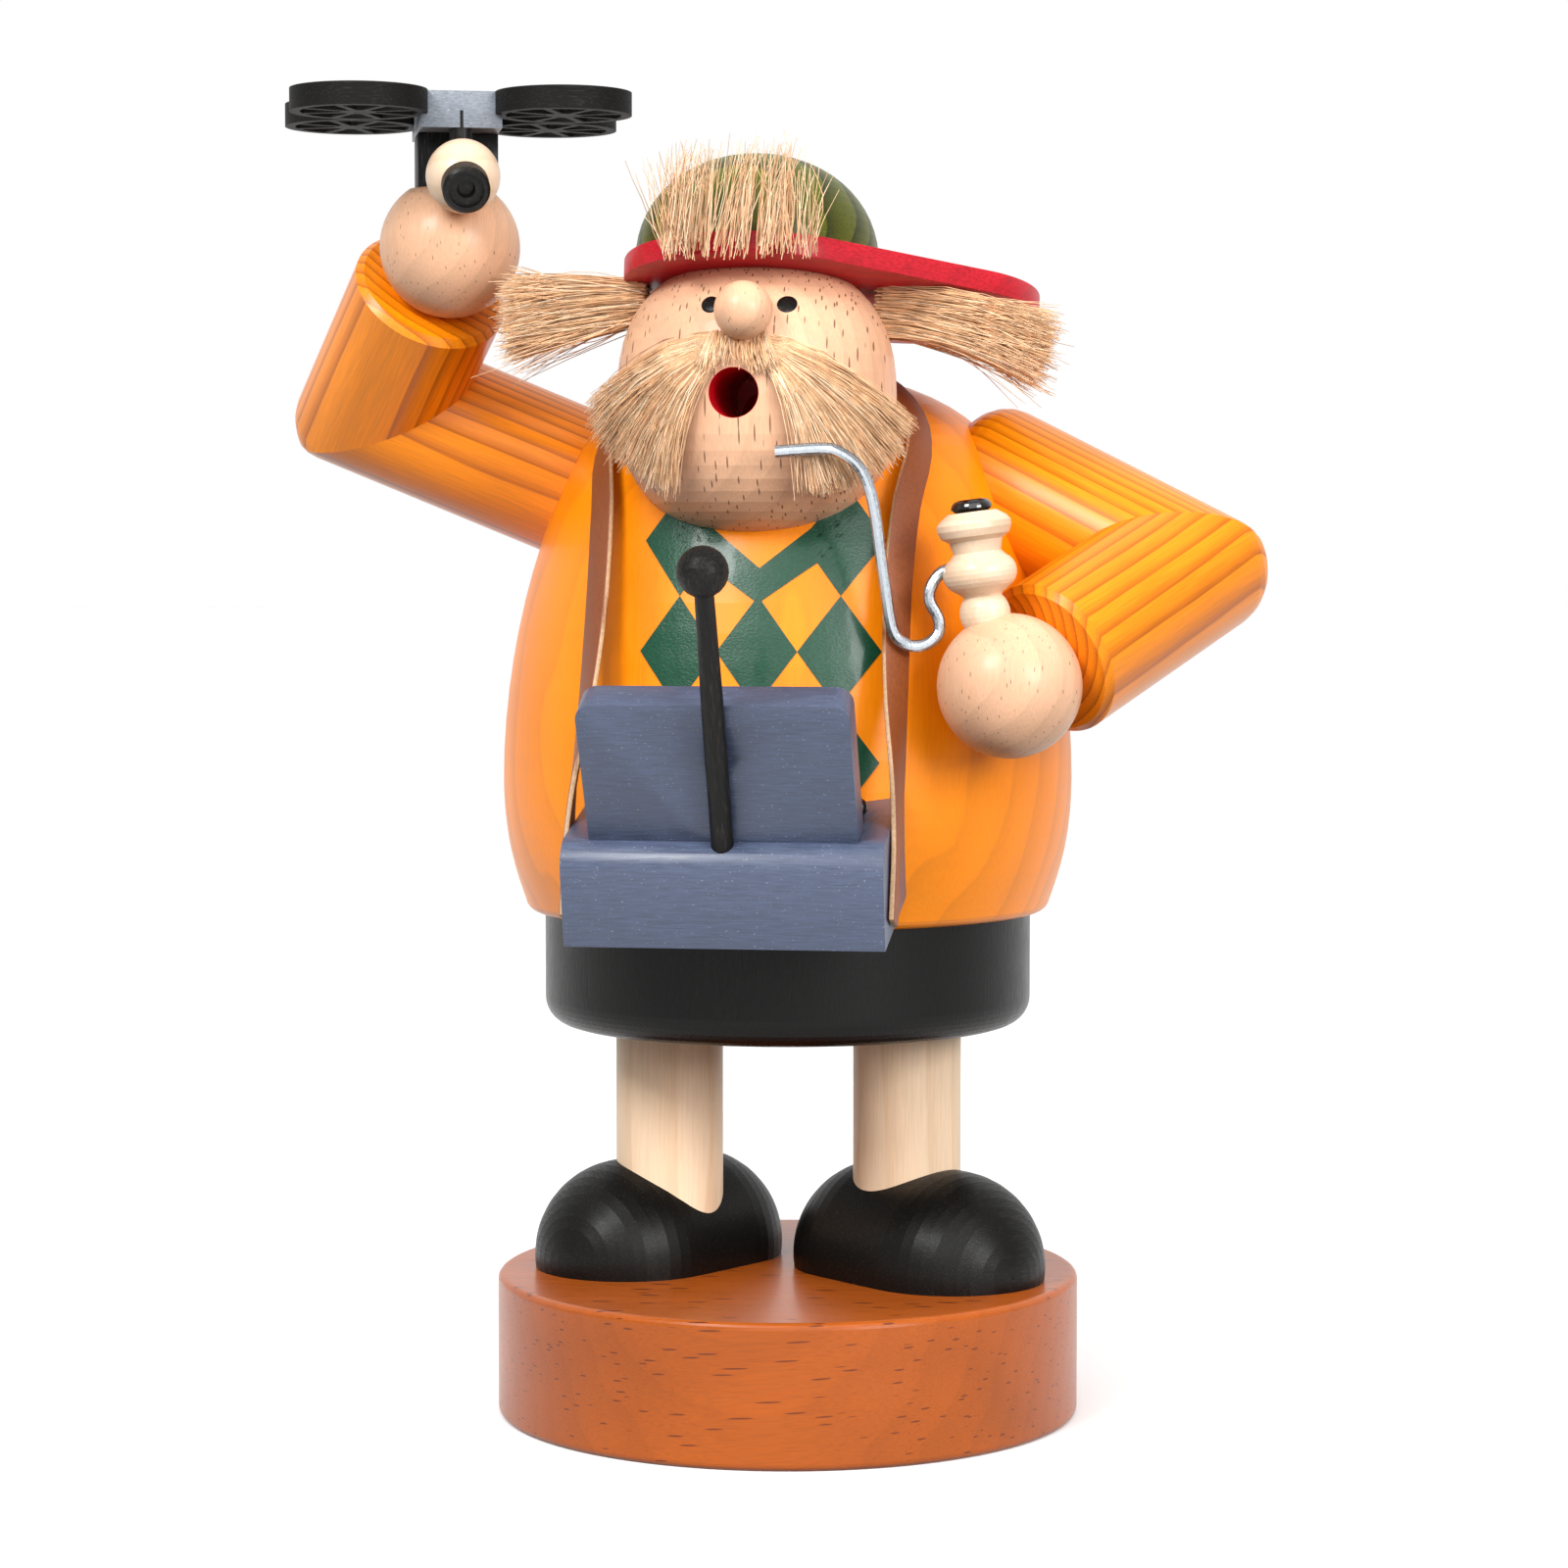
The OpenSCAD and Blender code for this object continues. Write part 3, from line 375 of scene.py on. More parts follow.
def hair_fibre(colour):
    """Sisal-like plant fibre: each strand has its own tone, with a soft sheen."""
    material, tree, shader = new_material("combed_plant_fibre", ior=1.5, roughness=0.48, specular=0.45)
    strand = add(tree, "ShaderNodeNewGeometry")
    tones = add(tree, "ShaderNodeValToRGB", {"Fac": strand.outputs["Random Per Island"]})
    ramp = tones.color_ramp
    ramp.elements[0].color = shade(colour, 0.62)
    ramp.elements[1].color = linear("FAE6C8")
    for at, factor in ((0.25, 0.95), (0.6, 1.25)):
        ramp.elements.new(at).color = shade(colour, factor)
    place = grain_coordinates(tree, 0, math.radians(90), (0, 0, 0))
    streak = stretched_noise(tree, place, (2.2, 2.2, 2.2), 2.0)
    tone = ranged(tree, streak, *NOISE_SPAN, 0.82, 1.1)
    tint = mixed(tree, 1.0, tones.outputs["Color"], tone, blend="MULTIPLY")
    tree.links.new(tint, shader.inputs["Base Color"])
    return material


def leather_strap(colour):
    """Thin vegetable-tanned leather: waxed brown face, paler cut edges with a fuzzy nap."""
    material, tree, shader = new_material(
        "vegetable_tanned_leather", ior=1.5, coat=0.1, coat_roughness=0.35)
    place = grain_coordinates(tree, 0, math.radians(90), (0, 0, 0))
    pebble = stretched_noise(tree, place, (0.45, 0.45, 0.6), 3.0)
    edge = add(tree, "ShaderNodeAttribute", attribute_name="cut_edge")
    tone = ranged(tree, pebble, *NOISE_SPAN, 0.78, 1.15)
    tint = mixed(tree, 1.0, rgba(colour), tone, blend="MULTIPLY")
    nap = mixed(tree, pebble, linear("8C5A34"), linear("E6C49A"))
    tint = mixed(tree, edge.outputs["Fac"], tint, nap)
    tree.links.new(tint, shader.inputs["Base Color"])
    tree.links.new(ranged(tree, pebble, *NOISE_SPAN, 0.42, 0.6), shader.inputs["Roughness"])
    surface_bump(tree, shader, pebble, 0.08, 0.6)
    return material


def drawn_metal(name, tint_hex, roughness, draw=(0, 90)):
    """Bright metal with fine lines along the way it was drawn or rolled."""
    material, tree, shader = new_material(name, metallic=1.0)
    place = grain_coordinates(tree, math.radians(draw[0]), math.radians(draw[1]), (0, 0, 0))
    lines = stretched_noise(tree, place, (0.18, 0.18, 5.0), 2.0)
    tone = ranged(tree, lines, *NOISE_SPAN, 0.8, 1.08)
    tint = mixed(tree, 1.0, linear(tint_hex), tone, blend="MULTIPLY")
    tree.links.new(tint, shader.inputs["Base Color"])
    gloss = ranged(tree, lines, *NOISE_SPAN, roughness - 0.07, roughness + 0.1)
    tree.links.new(gloss, shader.inputs["Roughness"])
    surface_bump(tree, shader, lines, 0.02, 0.3)
    return material


def black_enamel(name, roughness=0.18):
    """Dipped black enamel, nearly a mirror, with a faint waviness."""
    material, tree, shader = new_material(
        name, ior=1.52, coat=0.7, coat_roughness=0.06, roughness=roughness)
    place = grain_coordinates(tree, 0, math.radians(90), (0, 0, 0))
    wave = stretched_noise(tree, place, (1.4, 1.4, 1.4), 1.0)
    tint = mixed(tree, wave, linear("050505"), linear("15120F"))
    tree.links.new(tint, shader.inputs["Base Color"])
    surface_bump(tree, shader, wave, 0.05, 0.3)
    return material


# ---------------------------------------------------------------- making and placing pieces

def put(name, mesh_data, body, material, replaced=()):
    """Links a finished mesh, puts it under its body, and hides the nodes it stands for."""
    piece = bpy.data.objects.new(name, mesh_data)
    bpy.context.scene.collection.objects.link(piece)
    mesh_data.materials.clear()
    mesh_data.materials.append(material)
    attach(piece, body)
    if replaced:
        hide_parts(*replaced)
    return piece


def mesh_from(shape, name, sharp_degrees=35):
    """A mesh from a bmesh, smooth except along edges sharper than an angle."""
    for face in shape.faces:
        face.smooth = True
    for edge in shape.edges:
        edge.smooth = not edge.is_manifold or edge.calc_face_angle(0) < math.radians(sharp_degrees)
    data = bpy.data.meshes.new(name)
    shape.to_mesh(data)
    shape.free()
    return data


def merged_copy(node):
    """A bmesh of a CAD node's surface with its loose triangles merged and its flats made whole."""
    shape = bmesh.new()
    shape.from_mesh(NODES[node].data)
    bmesh.ops.remove_doubles(shape, verts=shape.verts, dist=0.002 * MM)
    bmesh.ops.dissolve_limit(
        shape, angle_limit=math.radians(0.4), verts=shape.verts, edges=shape.edges)
    return shape


def ease_edges(shape, width, sharp_degrees=40, segments=2):
    """Rounds the sharp edges of a shape, as a light sanding does."""
    sharp = [e for e in shape.edges if e.is_manifold and e.calc_face_angle(0) > math.radians(sharp_degrees)]
    bmesh.ops.bevel(shape, geom=sharp, offset=width, affect="EDGES", segments=segments, profile=0.5,
                    material=-1, clamp_overlap=True)


def paint(node, material):
    """Gives a CAD node its finish."""
    data = NODES[node].data
    data.materials.clear()
    data.materials.append(material)


TAPER = 0.45        # the share of its radius that a fibre loses on its way to the tip


def strands(name, paths, radius):
    """A mesh of thin tapered fibres, one for each list of points."""
    curve = bpy.data.curves.new(name, "CURVE")
    curve.dimensions = "3D"
    curve.bevel_depth = radius
    curve.bevel_resolution = 0
    curve.use_fill_caps = True
    for path in paths:
        spline = curve.splines.new("POLY")
        spline.points.add(len(path) - 1)
        for i, (point, place) in enumerate(zip(spline.points, path)):
            point.co = (*place, 1)
            point.radius = 1 - TAPER * (i / (len(path) - 1)) ** 2
    holder = bpy.data.objects.new(name, curve)
    bpy.context.scene.collection.objects.link(holder)
    bpy.context.view_layer.update()
    graph = bpy.context.evaluated_depsgraph_get()
    data = bpy.data.meshes.new_from_object(holder.evaluated_get(graph))
    bpy.data.objects.remove(holder)
    bpy.data.curves.remove(curve)
    data.shade_flat()
    return data


def bowed(root, tip, bow, wander, chance, steps=5):
    """Points of one fibre from root to tip, bowed by a vector and wandering a little on its way."""
    stray = Vector([chance.gauss(0, wander) for _ in range(3)])
    points = []
    for i in range(steps + 1):
        t = i / steps
        points.append(root.lerp(tip, t) + bow * (4 * t * (1 - t)) + stray * math.sin(math.pi * t * 1.4) * t)
    return points


def clear_of_head(point, gap):
    """A point pushed out sideways until it is clear of the head."""
    out = Vector((point.x, point.y - HEAD_AXIS_Y, 0))
    least = head_radius(point.z) + gap
    if 0 < out.length < least:
        out = out.normalized() * least
        return Vector((out.x, HEAD_AXIS_Y + out.y, point.z))
    return point


def face_point(x, z, gap=0.0):
    """The point of the head's front at a side offset and a height."""
    hit, normal, _, _ = HEAD_SKIN.ray_cast(Vector((x, HEAD_LOW.y - RAY_START, z)), Vector((0, 1, 0)))
    if hit is None:
        raise ValueError("no point of the head there")
    return hit + (normal if normal.y < 0 else -normal) * gap


# ---------------------------------------------------------------- operators

class OBJECT_OT_smoker_wood(bpy.types.Operator):
    """Gives every turned or sawn piece its wood, stain or lacquer"""
    bl_idname = "object.smoker_wood"
    bl_label = "Finish Wood"

    def execute(self, context):
        c = context.scene.smoker_colours
        paint("base", finish_wood(
            "stained_beech_base", rgba(c.base), shade(c.base, 0.75), grain=(4, 3),
            centre=(0, 0.08, -0.02), ring_mm=5, waver_mm=7, sharp=2, rings=0.35, flecks=BASE_FLECKS,
            fleck_tint=linear("54200A"), fibre=0.12, roughness=0.32, coat=0.22, coat_roughness=0.16))
        for side, x in (("right", -1), ("left", 1)):
            paint(f"leg_{side}", finish_wood(
                f"turned_maple_{side}", linear("EED0B0"), linear("D6AE86"), centre=(x * 0.05, 0.03, 0),
                ring_mm=6, waver_mm=6, rings=0.5, fibre=0.08, roughness=0.5, coat=0.12))
            paint(f"shoe_{side}", black_stain(
                f"black_stained_shoe_{side}", (90 - 30 * x, 0), 0.4, 0.08, "3A342F"))
            paint(f"joystick_{side}", black_enamel(f"black_enamel_joystick_{side}", 0.3))
        paint("trousers", black_stain("black_lacquered_beech", (0, 90), 0.3, 0.04, "120F0D"))
        paint("jacket", finish_wood(
            "orange_glazed_lime", rgba(c.jacket), shade(c.jacket, 0.72), grain=(96, 81),
            centre=(0.01, 0.09, 0.14), ring_mm=6.5, waver_mm=9, sharp=2.4, rings=0.55, fibre=0.06,
            roughness=0.38, coat=0.2, coat_roughness=0.24))
        for node, grain in ARM_GRAIN.items():
            paint(node, finish_wood(
                f"orange_glazed_pine_{node}", rgba(c.pine), rgba(c.pine_rings), grain=grain,
                centre=middle(node) + Vector((0.02, 0.04, 0.03)), ring_mm=2.1, waver_mm=1.6, sharp=2.6,
                rings=0.9, fibre=0.16, roughness=0.34, coat=0.25, coat_roughness=0.2))
        paint("head", beech_head(c.beech))
        for node in ("nose", "hand_right", "hand_left"):
            paint(node, beech(f"lacquered_beech_{node}", c.beech, middle(node) + Vector((0.012, 0.01, 0)),
                              grain=(90, 75), flecks=HAND_FLECKS))
        paint("cap_dome", finish_wood(
            "green_glazed_lime", rgba(c.cap), linear("151803"), grain=(10, 20), centre=(0.0, 0.03, 0.17),
            ring_mm=4.5, waver_mm=7, sharp=1.3, rings=0.85, fibre=0.3, roughness=0.4, coat=0.1))
        for node in ("pipe", "camera_ball"):
            paint(node, finish_wood(
                f"turned_maple_{node}", linear("EACDB0"), linear("D4AE86"), centre=middle(node),
                ring_mm=2.4, waver_mm=2, rings=0.4, fibre=0.06, roughness=0.4, coat=0.25))
        for node in ("shoulder_dowels", "elbow_dowels", "wrist_dowels"):
            paint(node, finish_wood(f"birch_{node}", linear("E8D2AC"), linear("CDAF84"), fibre=0.1))
        paint("antenna", black_stain("black_stained_antenna", (-90, 60), 0.55))
        paint("camera_neck", black_stain("black_stained_neck", (0, 90), 0.5))
        for node in [n for n in NODES if n.startswith("rotor_")]:
            paint(node, black_stain(f"charred_plywood_{node}", (18, 0), 0.6, 0.0, "3A332E"))
        return {"FINISHED"}


class OBJECT_OT_smoker_small_parts(bpy.types.Operator):
    """Gives the metal and enamelled small parts their finishes"""
    bl_idname = "object.smoker_small_parts"
    bl_label = "Finish Small Parts"

    def execute(self, context):
        paint("pipe_stem", drawn_metal("drawn_steel_wire", "AEB4BA", 0.3, (-80, 70)))
        paint("incense_plate", drawn_metal("rolled_steel_sheet", "B7BABD", 0.38, (0, 0)))
        paint("plate_tack", drawn_metal("stamped_brass", "C39A4A", 0.32))
        paint("camera_lens", black_stain("black_stained_lens", (0, 0), 0.45))
        paint("pipe_tobacco", black_enamel("black_enamel_tobacco", 0.12))
        return {"FINISHED"}


class OBJECT_OT_smoker_sawn_boards(bpy.types.Operator):
    """Makes the sawn pieces again with sanded edges: the brim, the remote and the drone's block and post"""
    bl_idname = "object.smoker_sawn_boards"
    bl_label = "Sand Sawn Boards"

    def execute(self, context):
        c = context.scene.smoker_colours
        brim = finish_wood(
            "red_stained_beech", rgba(c.brim), shade(c.brim, 0.5), grain=(20, 0), centre=(0, 0, 0.17),
            ring_mm=4, waver_mm=4, sharp=2, rings=0.3, fibre=0.3, roughness=0.45, coat=0.15)
        remote = sparkle_paint("blue_grey_stain", c.remote, 0.32, 0.3, 0.38)
        boards = (
            ("cap_brim", 0.35, brim, "red_stain"),
            ("remote_box", 0.3, remote, "grey_stain"),
            ("remote_board", 0.3, remote, "grey_stain"),
            ("drone_block", 0.25,
             sparkle_paint("grey_sparkle_lacquer", linear("7C838D")[:3], 0.22, 0.75, 0.42), "drone_grey"),
            ("drone_post", 0.3, black_stain("black_sparkle_stain", (0, 90), 0.5, 0.1, "6E727A"),
             "black_stained_wood"))
        for node, ease_mm, material, slot in boards:
            shape = merged_copy(node)
            ease_edges(shape, ease_mm * MM)
            put(f"{node}_sanded", mesh_from(shape, f"{node}_sanded"), "upper", material, (node,))
        return {"FINISHED"}


CUT_EDGE = (0.45 * MM, 1.2 * MM)        # widths between which a narrow face is one of the strap's cut edges


class OBJECT_OT_smoker_strap(bpy.types.Operator):
    """Makes the leather strap again with worn cut edges"""
    bl_idname = "object.smoker_strap"
    bl_label = "Cut Strap"

    def execute(self, context):
        shape = merged_copy("strap")
        bmesh.ops.join_triangles(
            shape, faces=shape.faces, angle_face_threshold=math.radians(25),
            angle_shape_threshold=math.radians(40), cmp_seam=False, cmp_sharp=False, cmp_uvs=False,
            cmp_vcols=False, cmp_materials=False)
        mark = shape.verts.layers.float.new("cut_edge")
        ease_edges(shape, 0.2 * MM, sharp_degrees=50)
        # the corners of the cut edges carry the mark
        for face in shape.faces:
            shortest = min(edge.calc_length() for edge in face.edges)
            if len(face.verts) == 4 and CUT_EDGE[0] < shortest < CUT_EDGE[1]:
                for vert in face.verts:
                    vert[mark] = 1.0
        data = mesh_from(shape, "leather_strap", 60)
        put("leather_strap", data, "upper", leather_strap(context.scene.smoker_colours.leather),
            ("strap",))
        return {"FINISHED"}


class OBJECT_OT_smoker_eyes(bpy.types.Operator):
    """Dabs the two black oval eyes on the head"""
    bl_idname = "object.smoker_eyes"
    bl_label = "Paint Eyes"

    def execute(self, context):
        eye_gap, eye_w, eye_h = 6.5 * MM, 1.65 * MM, 1.45 * MM
        film, crown = 0.04 * MM, 0.22 * MM
        middle_x = NOSE_X + 0.2 * MM
        corners = 32
        shape = bmesh.new()
        for side in (-1, 1):
            loops = []
            # each eye is a drop of paint, made as rings that close in on its middle
            for reach in (1.0, 0.93, 0.75, 0.45, 0.15):
                lift = film + crown * math.sqrt(1 - reach * reach)
                loop = []
                for step in range(corners):
                    turn = math.tau * step / corners
                    u, v = reach * math.cos(turn), reach * math.sin(turn)
                    loop.append(shape.verts.new(face_point(
                        middle_x + side * eye_gap + u * eye_w, EYE_Z + v * eye_h, lift)))
                loops.append(loop)
            for outer, inner in zip(loops, loops[1:]):
                for i in range(corners):
                    shape.faces.new((outer[i - 1], outer[i], inner[i], inner[i - 1]))
            shape.faces.new(loops[-1])
        bmesh.ops.recalc_face_normals(shape, faces=shape.faces)
        data = mesh_from(shape, "eyes", 180)
        put("eyes", data, "upper", black_stain("black_painted_eyes", (0, 90), 0.35, 0.1))
        return {"FINISHED"}


def point_on_front(jacket_skin, x, z, film):
    """A point on the jacket's front, which runs on in a straight line where the head sits on it."""
    furthest, step, gap_to_head = 20 * MM, 0.5 * MM, 0.3 * MM
    drop = 0.0
    while drop < furthest:
        start = Vector((x, JACKET_LOW.y - RAY_START, z - drop))
        hit, normal, _, _ = jacket_skin.ray_cast(start, Vector((0, 1, 0)))
        if hit and math.hypot(hit.x, hit.y - HEAD_AXIS_Y) > head_radius(hit.z) + gap_to_head:
            normal = normal if normal.y < 0 else -normal
            return Vector((x, hit.y - normal.z * drop / normal.y, z)) + normal * film
        drop += step
    raise ValueError("no point of the jacket's front there")


class OBJECT_OT_smoker_diamonds(bpy.types.Operator):
    """Prints the jumper's diamonds and its V-shaped neckband on the front of the jacket"""
    bl_idname = "object.smoker_diamonds"
    bl_label = "Print Diamonds"

    def execute(self, context):
        half_w, half_h = 7.0 * MM, 9.6 * MM
        # the middle of the pattern, a little to the wearer's left
        middle_x, middle_z = 2.4 * MM, JACKET_LOW.z + 48.8 * MM
        film = 0.12 * MM
        cuts = 15           # on each side of a patch, so that it follows the jacket's round front
        jacket_skin = skin_of("jacket")
        shape = bmesh.new()
        patches = []
        for row, columns in ((1, (-1, 1)), (0, (-1, 0, 1)), (-1, (-1, 0, 1))):
            for column in columns:
                x, z = middle_x + column * 2 * half_w, middle_z + row * 2 * half_h
                patches.append([(x - half_w, z), (x, z - half_h), (x + half_w, z), (x, z + half_h)])
        # the neckband: a V whose lower tip overlaps the top of the middle diamond
        tip, reach = middle_z + half_h, 15.2 * MM
        low, high, low_rise, high_rise = -1.3 * MM, 4.8 * MM, 10.8 * MM, 12.3 * MM
        for side in (-1, 1):
            edge = middle_x + side * reach
            patches.append([(middle_x, tip + low), (edge, tip + low + low_rise),
                            (edge, tip + high + high_rise), (middle_x, tip + high)][::side])
        for corners in patches:
            verts = [shape.verts.new((x, 0, z)) for x, z in corners]
            shape.faces.new(verts)
        bmesh.ops.subdivide_edges(shape, edges=shape.edges, cuts=cuts, use_grid_fill=True)
        for vert in shape.verts:
            vert.co = point_on_front(jacket_skin, vert.co.x, vert.co.z, film)
        bmesh.ops.recalc_face_normals(shape, faces=shape.faces)
        for face in shape.faces:
            if face.normal.y > 0:
                face.normal_flip()
        data = mesh_from(shape, "jumper_diamonds", 180)
        put("jumper_diamonds", data, "upper",
            diamond_paint(context.scene.smoker_colours.diamonds))
        return {"FINISHED"}


def along(points, share):
    """The point at a share of the way along a broken line."""
    place = min(max(share, 0.0), 1.0) * (len(points) - 1)
    i = min(int(place), len(points) - 2)
    return Vector(points[i]).lerp(Vector(points[i + 1]), place - i)


def brush(chance, count, roots, tips, bow, wander_mm, droop=0.04):
    """Paths of a bundle: a strand starts at a share of the way along roots and ends beside it on tips."""
    paths = []
    for _ in range(count):
        share = chance.random()
        spread = Vector([chance.gauss(0, 0.8) for _ in range(3)]) * MM
        tip = along(tips, share + chance.gauss(0, 0.07)) + spread
        if chance.random() < droop:
            tip += Vector((chance.gauss(0, 2), chance.gauss(0, 2), -chance.uniform(1, 6))) * MM
        root = along(roots, share) + Vector([chance.uniform(-1, 1) for _ in range(3)]) * MM
        paths.append(bowed(root, tip, bow, wander_mm * MM, chance))
    return paths


class OBJECT_OT_smoker_moustache(bpy.types.Operator):
    """Glues the drooping fibre moustache under the nose"""
    bl_idname = "object.smoker_moustache"
    bl_label = "Glue Moustache"

    def execute(self, context):
        sizes = context.scene.smoker_hair
        chance = random.Random(11)
        # each wing's side and its lower outline, as offsets from the middle and heights in millimetres
        wings = (
            (-1, [(-26.5, 185.5), (-25, 179.5), (-19.5, 175), (-11, 170.5)]),
            (1, [(28, 182), (25.5, 176), (19, 171.5), (12.5, 170.5)]))
        # how far the tips stand in front of the head's axis: on an arc, and never under the least
        arc, least = 27.5, 14
        # the roots start under the nose, and run outwards and down
        start, top, outwards, down, film = 1, 197.5, 4.4, 5, 0.2 * MM
        paths = []
        for side, ends in wings:
            for _ in range(sizes.wing):
                share = chance.random()
                x, z = along([(e[0], e[1], 0) for e in ends], share + chance.gauss(0, 0.04))[:2]
                x, z = x + chance.gauss(0, 0.9), z + chance.gauss(0, 0.9)
                out = math.sqrt(max(arc ** 2 - x * x, least ** 2)) - chance.uniform(0, 3.2)
                tip = Vector((x, HEAD_AXIS_Y / MM - out, z)) * MM
                root_x = start + side * (0.2 + outwards * share + chance.uniform(-0.7, 0.7))
                root_z = top - down * share - chance.uniform(0, 1.5)
                root = face_point(root_x * MM, root_z * MM, film)
                bow = Vector((side * chance.uniform(0.6, 1.8), -1.6, chance.uniform(0.8, 2.8))) * MM
                paths.append([clear_of_head(p, 0.3 * MM) for p in bowed(root, tip, bow, 0.45 * MM, chance)])
        # short strands between the wings, from under the nose to the mouth
        for _ in range(sizes.wing // 6):
            x = chance.uniform(-4.5, 5.5)
            root = face_point(x * MM, chance.uniform(195, top) * MM, film)
            tip = face_point((x * 1.35 + chance.gauss(0, 0.6)) * MM,
                             chance.uniform(189.4, 191.4) * MM, 1.2 * MM)
            paths.append(bowed(root, tip, Vector((0, -1.2, 0)) * MM, 0.25 * MM, chance))
        data = strands("moustache_strands", paths, sizes.strand)
        put("moustache_strands", data, "upper", hair_fibre(context.scene.smoker_colours.hair),
            ("moustache",))
        return {"FINISHED"}


class OBJECT_OT_smoker_tufts(bpy.types.Operator):
    """Glues the fibre tufts in at the temples and on the cap's brim"""
    bl_idname = "object.smoker_tufts"
    bl_label = "Glue Tufts"

    def execute(self, context):
        sizes, colour = context.scene.smoker_hair, context.scene.smoker_colours.hair
        fibre = hair_fibre(colour)
        chance = random.Random(23)
        # each tuft's roots and tips, as broken lines in millimetres, and its bow
        sides = (
            ("hair_right", [(-20, -36.5, 206.5), (-20, -36.5, 200)], [(-43.5, -39, 207), (-43, -38, 194.5)],
             (1.0, -0.6, 0.4)),
            ("hair_left", [(21.5, -31, 205.4), (21.5, -31, 198)], [(51, -30, 200), (48.4, -30, 190)],
             (-0.6, -0.6, 1.6)))
        layers = 5
        for node, roots, tips, bow in sides:
            paths = []
            for layer in range(layers):
                shift = Vector((0, 1.6 * (layer - layers // 2), 0)) * MM
                paths += brush(
                    chance, sizes.side // layers, [Vector(p) * MM + shift * 0.7 for p in roots],
                    [Vector(p) * MM + shift * 1.3 for p in tips], Vector(bow) * MM, 1.0)
            put(f"{node}_strands", strands(f"{node}_strands", paths, sizes.strand), "upper",
                fibre, (node,))
        # the front tuft's roots and tips lie in two upright planes, and a few of its strands are short
        root_y, tip_y, short_share = -59.5, -60.2, 0.12
        # each bundle's share of the strands, its roots from and to, its tips from and to, and its top
        bundles = (
            (0.36, -12.3, -4, -10, -2.5, 228), (0.22, -3.5, 2.5, 0.8, 4, 228.5),
            (0.24, 3.5, 10.5, 6.5, 10.7, 228.5), (0.1, 9, 14.5, 9, 16, 225),
            (0.08, -12.5, -6, -16.5, -9, 226))
        paths = []
        for part, root_a, root_b, tip_a, tip_b, top in bundles:
            for _ in range(int(sizes.fringe * part)):
                share = chance.random()
                x = root_a + share * (root_b - root_a)
                root = Vector((x, root_y + chance.uniform(-0.9, 0.9), chance.uniform(208.8, 212.4))) * MM
                tip_x = tip_a + share * (tip_b - tip_a) + chance.gauss(0, 1.1)
                tip_z = top - 1.5 + chance.gauss(0, 1.1)
                if chance.random() < short_share:
                    tip_z -= chance.uniform(2, 8)
                tip = Vector((tip_x, tip_y + chance.gauss(0, 1.0), tip_z)) * MM
                bow = Vector((chance.gauss(0, 0.5), -0.8, 0)) * MM
                paths.append(bowed(root, tip, bow, 0.8 * MM, chance))
        put("hair_front_strands", strands("hair_front_strands", paths, sizes.strand), "upper",
            fibre, ("hair_front",))
        return {"FINISHED"}


def white_floor():
    """A wide sheet of paper, which throws no light back on the figure."""
    half_side = 12
    shape = bmesh.new()
    bmesh.ops.create_grid(shape, x_segments=1, y_segments=1, size=half_side)
    data = bpy.data.meshes.new("studio_floor")
    shape.to_mesh(data)
    shape.free()
    data.materials.append(new_material("matt_white_paper", base=linear("FCFCFC"), roughness=0.8)[0])
    floor = bpy.data.objects.new("studio_floor", data)
    bpy.context.scene.collection.objects.link(floor)
    floor.visible_diffuse = False


def graded_world(turn):
    """A white wall behind the figure, a dimmer room in front of it, and little light from below."""
    room, below = 0.42, 0.25        # their light, as shares of the wall's
    world = bpy.data.worlds.new("soft_box")
    world.use_nodes = True
    tree = world.node_tree
    way = add(tree, "ShaderNodeTexCoord").outputs["Generated"]
    forward = add(tree, "ShaderNodeVectorMath", {
        0: way, 1: (-math.sin(turn), math.cos(turn), 0.25)}, operation="DOT_PRODUCT")
    glow = ranged(tree, forward.outputs["Value"], -0.25, 0.8, room, 1.0, "SMOOTHSTEP")
    height = add(tree, "ShaderNodeSeparateXYZ", {0: way})
    above = ranged(tree, height.outputs["Z"], -0.25, -0.02, below, 1.0)
    level = add(tree, "ShaderNodeMath", {0: glow, 1: above}, operation="MULTIPLY")
    tree.links.new(level.outputs[0], tree.nodes["Background"].inputs["Color"])
    return world


def hang_lamp(name, kind, energy, location=(0, 0, 0), rotation=(0, 0, 0)):
    """A lamp of a kind in its place; its own settings are left to the caller."""
    lamp = bpy.data.lights.new(name, kind)
    lamp.energy = energy
    holder = bpy.data.objects.new(name, lamp)
    holder.location = location
    holder.rotation_euler = rotation
    bpy.context.scene.collection.objects.link(holder)
    return lamp


def stand_camera(s):
    """The scene's camera at the settings' turn, distance and height."""
    shift_mm = -0.7         # how far it stands to the side of the figure's axis
    scene = bpy.context.scene
    eye = bpy.data.cameras.new("camera")
    eye.lens = s.lens
    eye.sensor_width = 36
    camera = bpy.data.objects.new("camera", eye)
    aside = Vector((math.cos(s.turn), math.sin(s.turn), 0)) * shift_mm * MM
    camera.location = Vector((math.sin(s.turn), -math.cos(s.turn), 0)) * s.distance + aside
    camera.location.z = s.height
    camera.rotation_euler = (math.pi / 2 - s.pitch, 0, s.turn)
    scene.collection.objects.link(camera)
    scene.camera = camera


LIT_POINT = Vector((0, 0, 0.12))        # the lamps face the middle of the figure
# each soft lamp's name, place, width in metres and power in watts
LAMPS = (("key", (-0.4, -0.8, 0.8), 0.35, 9.0), ("fill", (0.8, -0.75, 0.45), 0.45, 8.0))


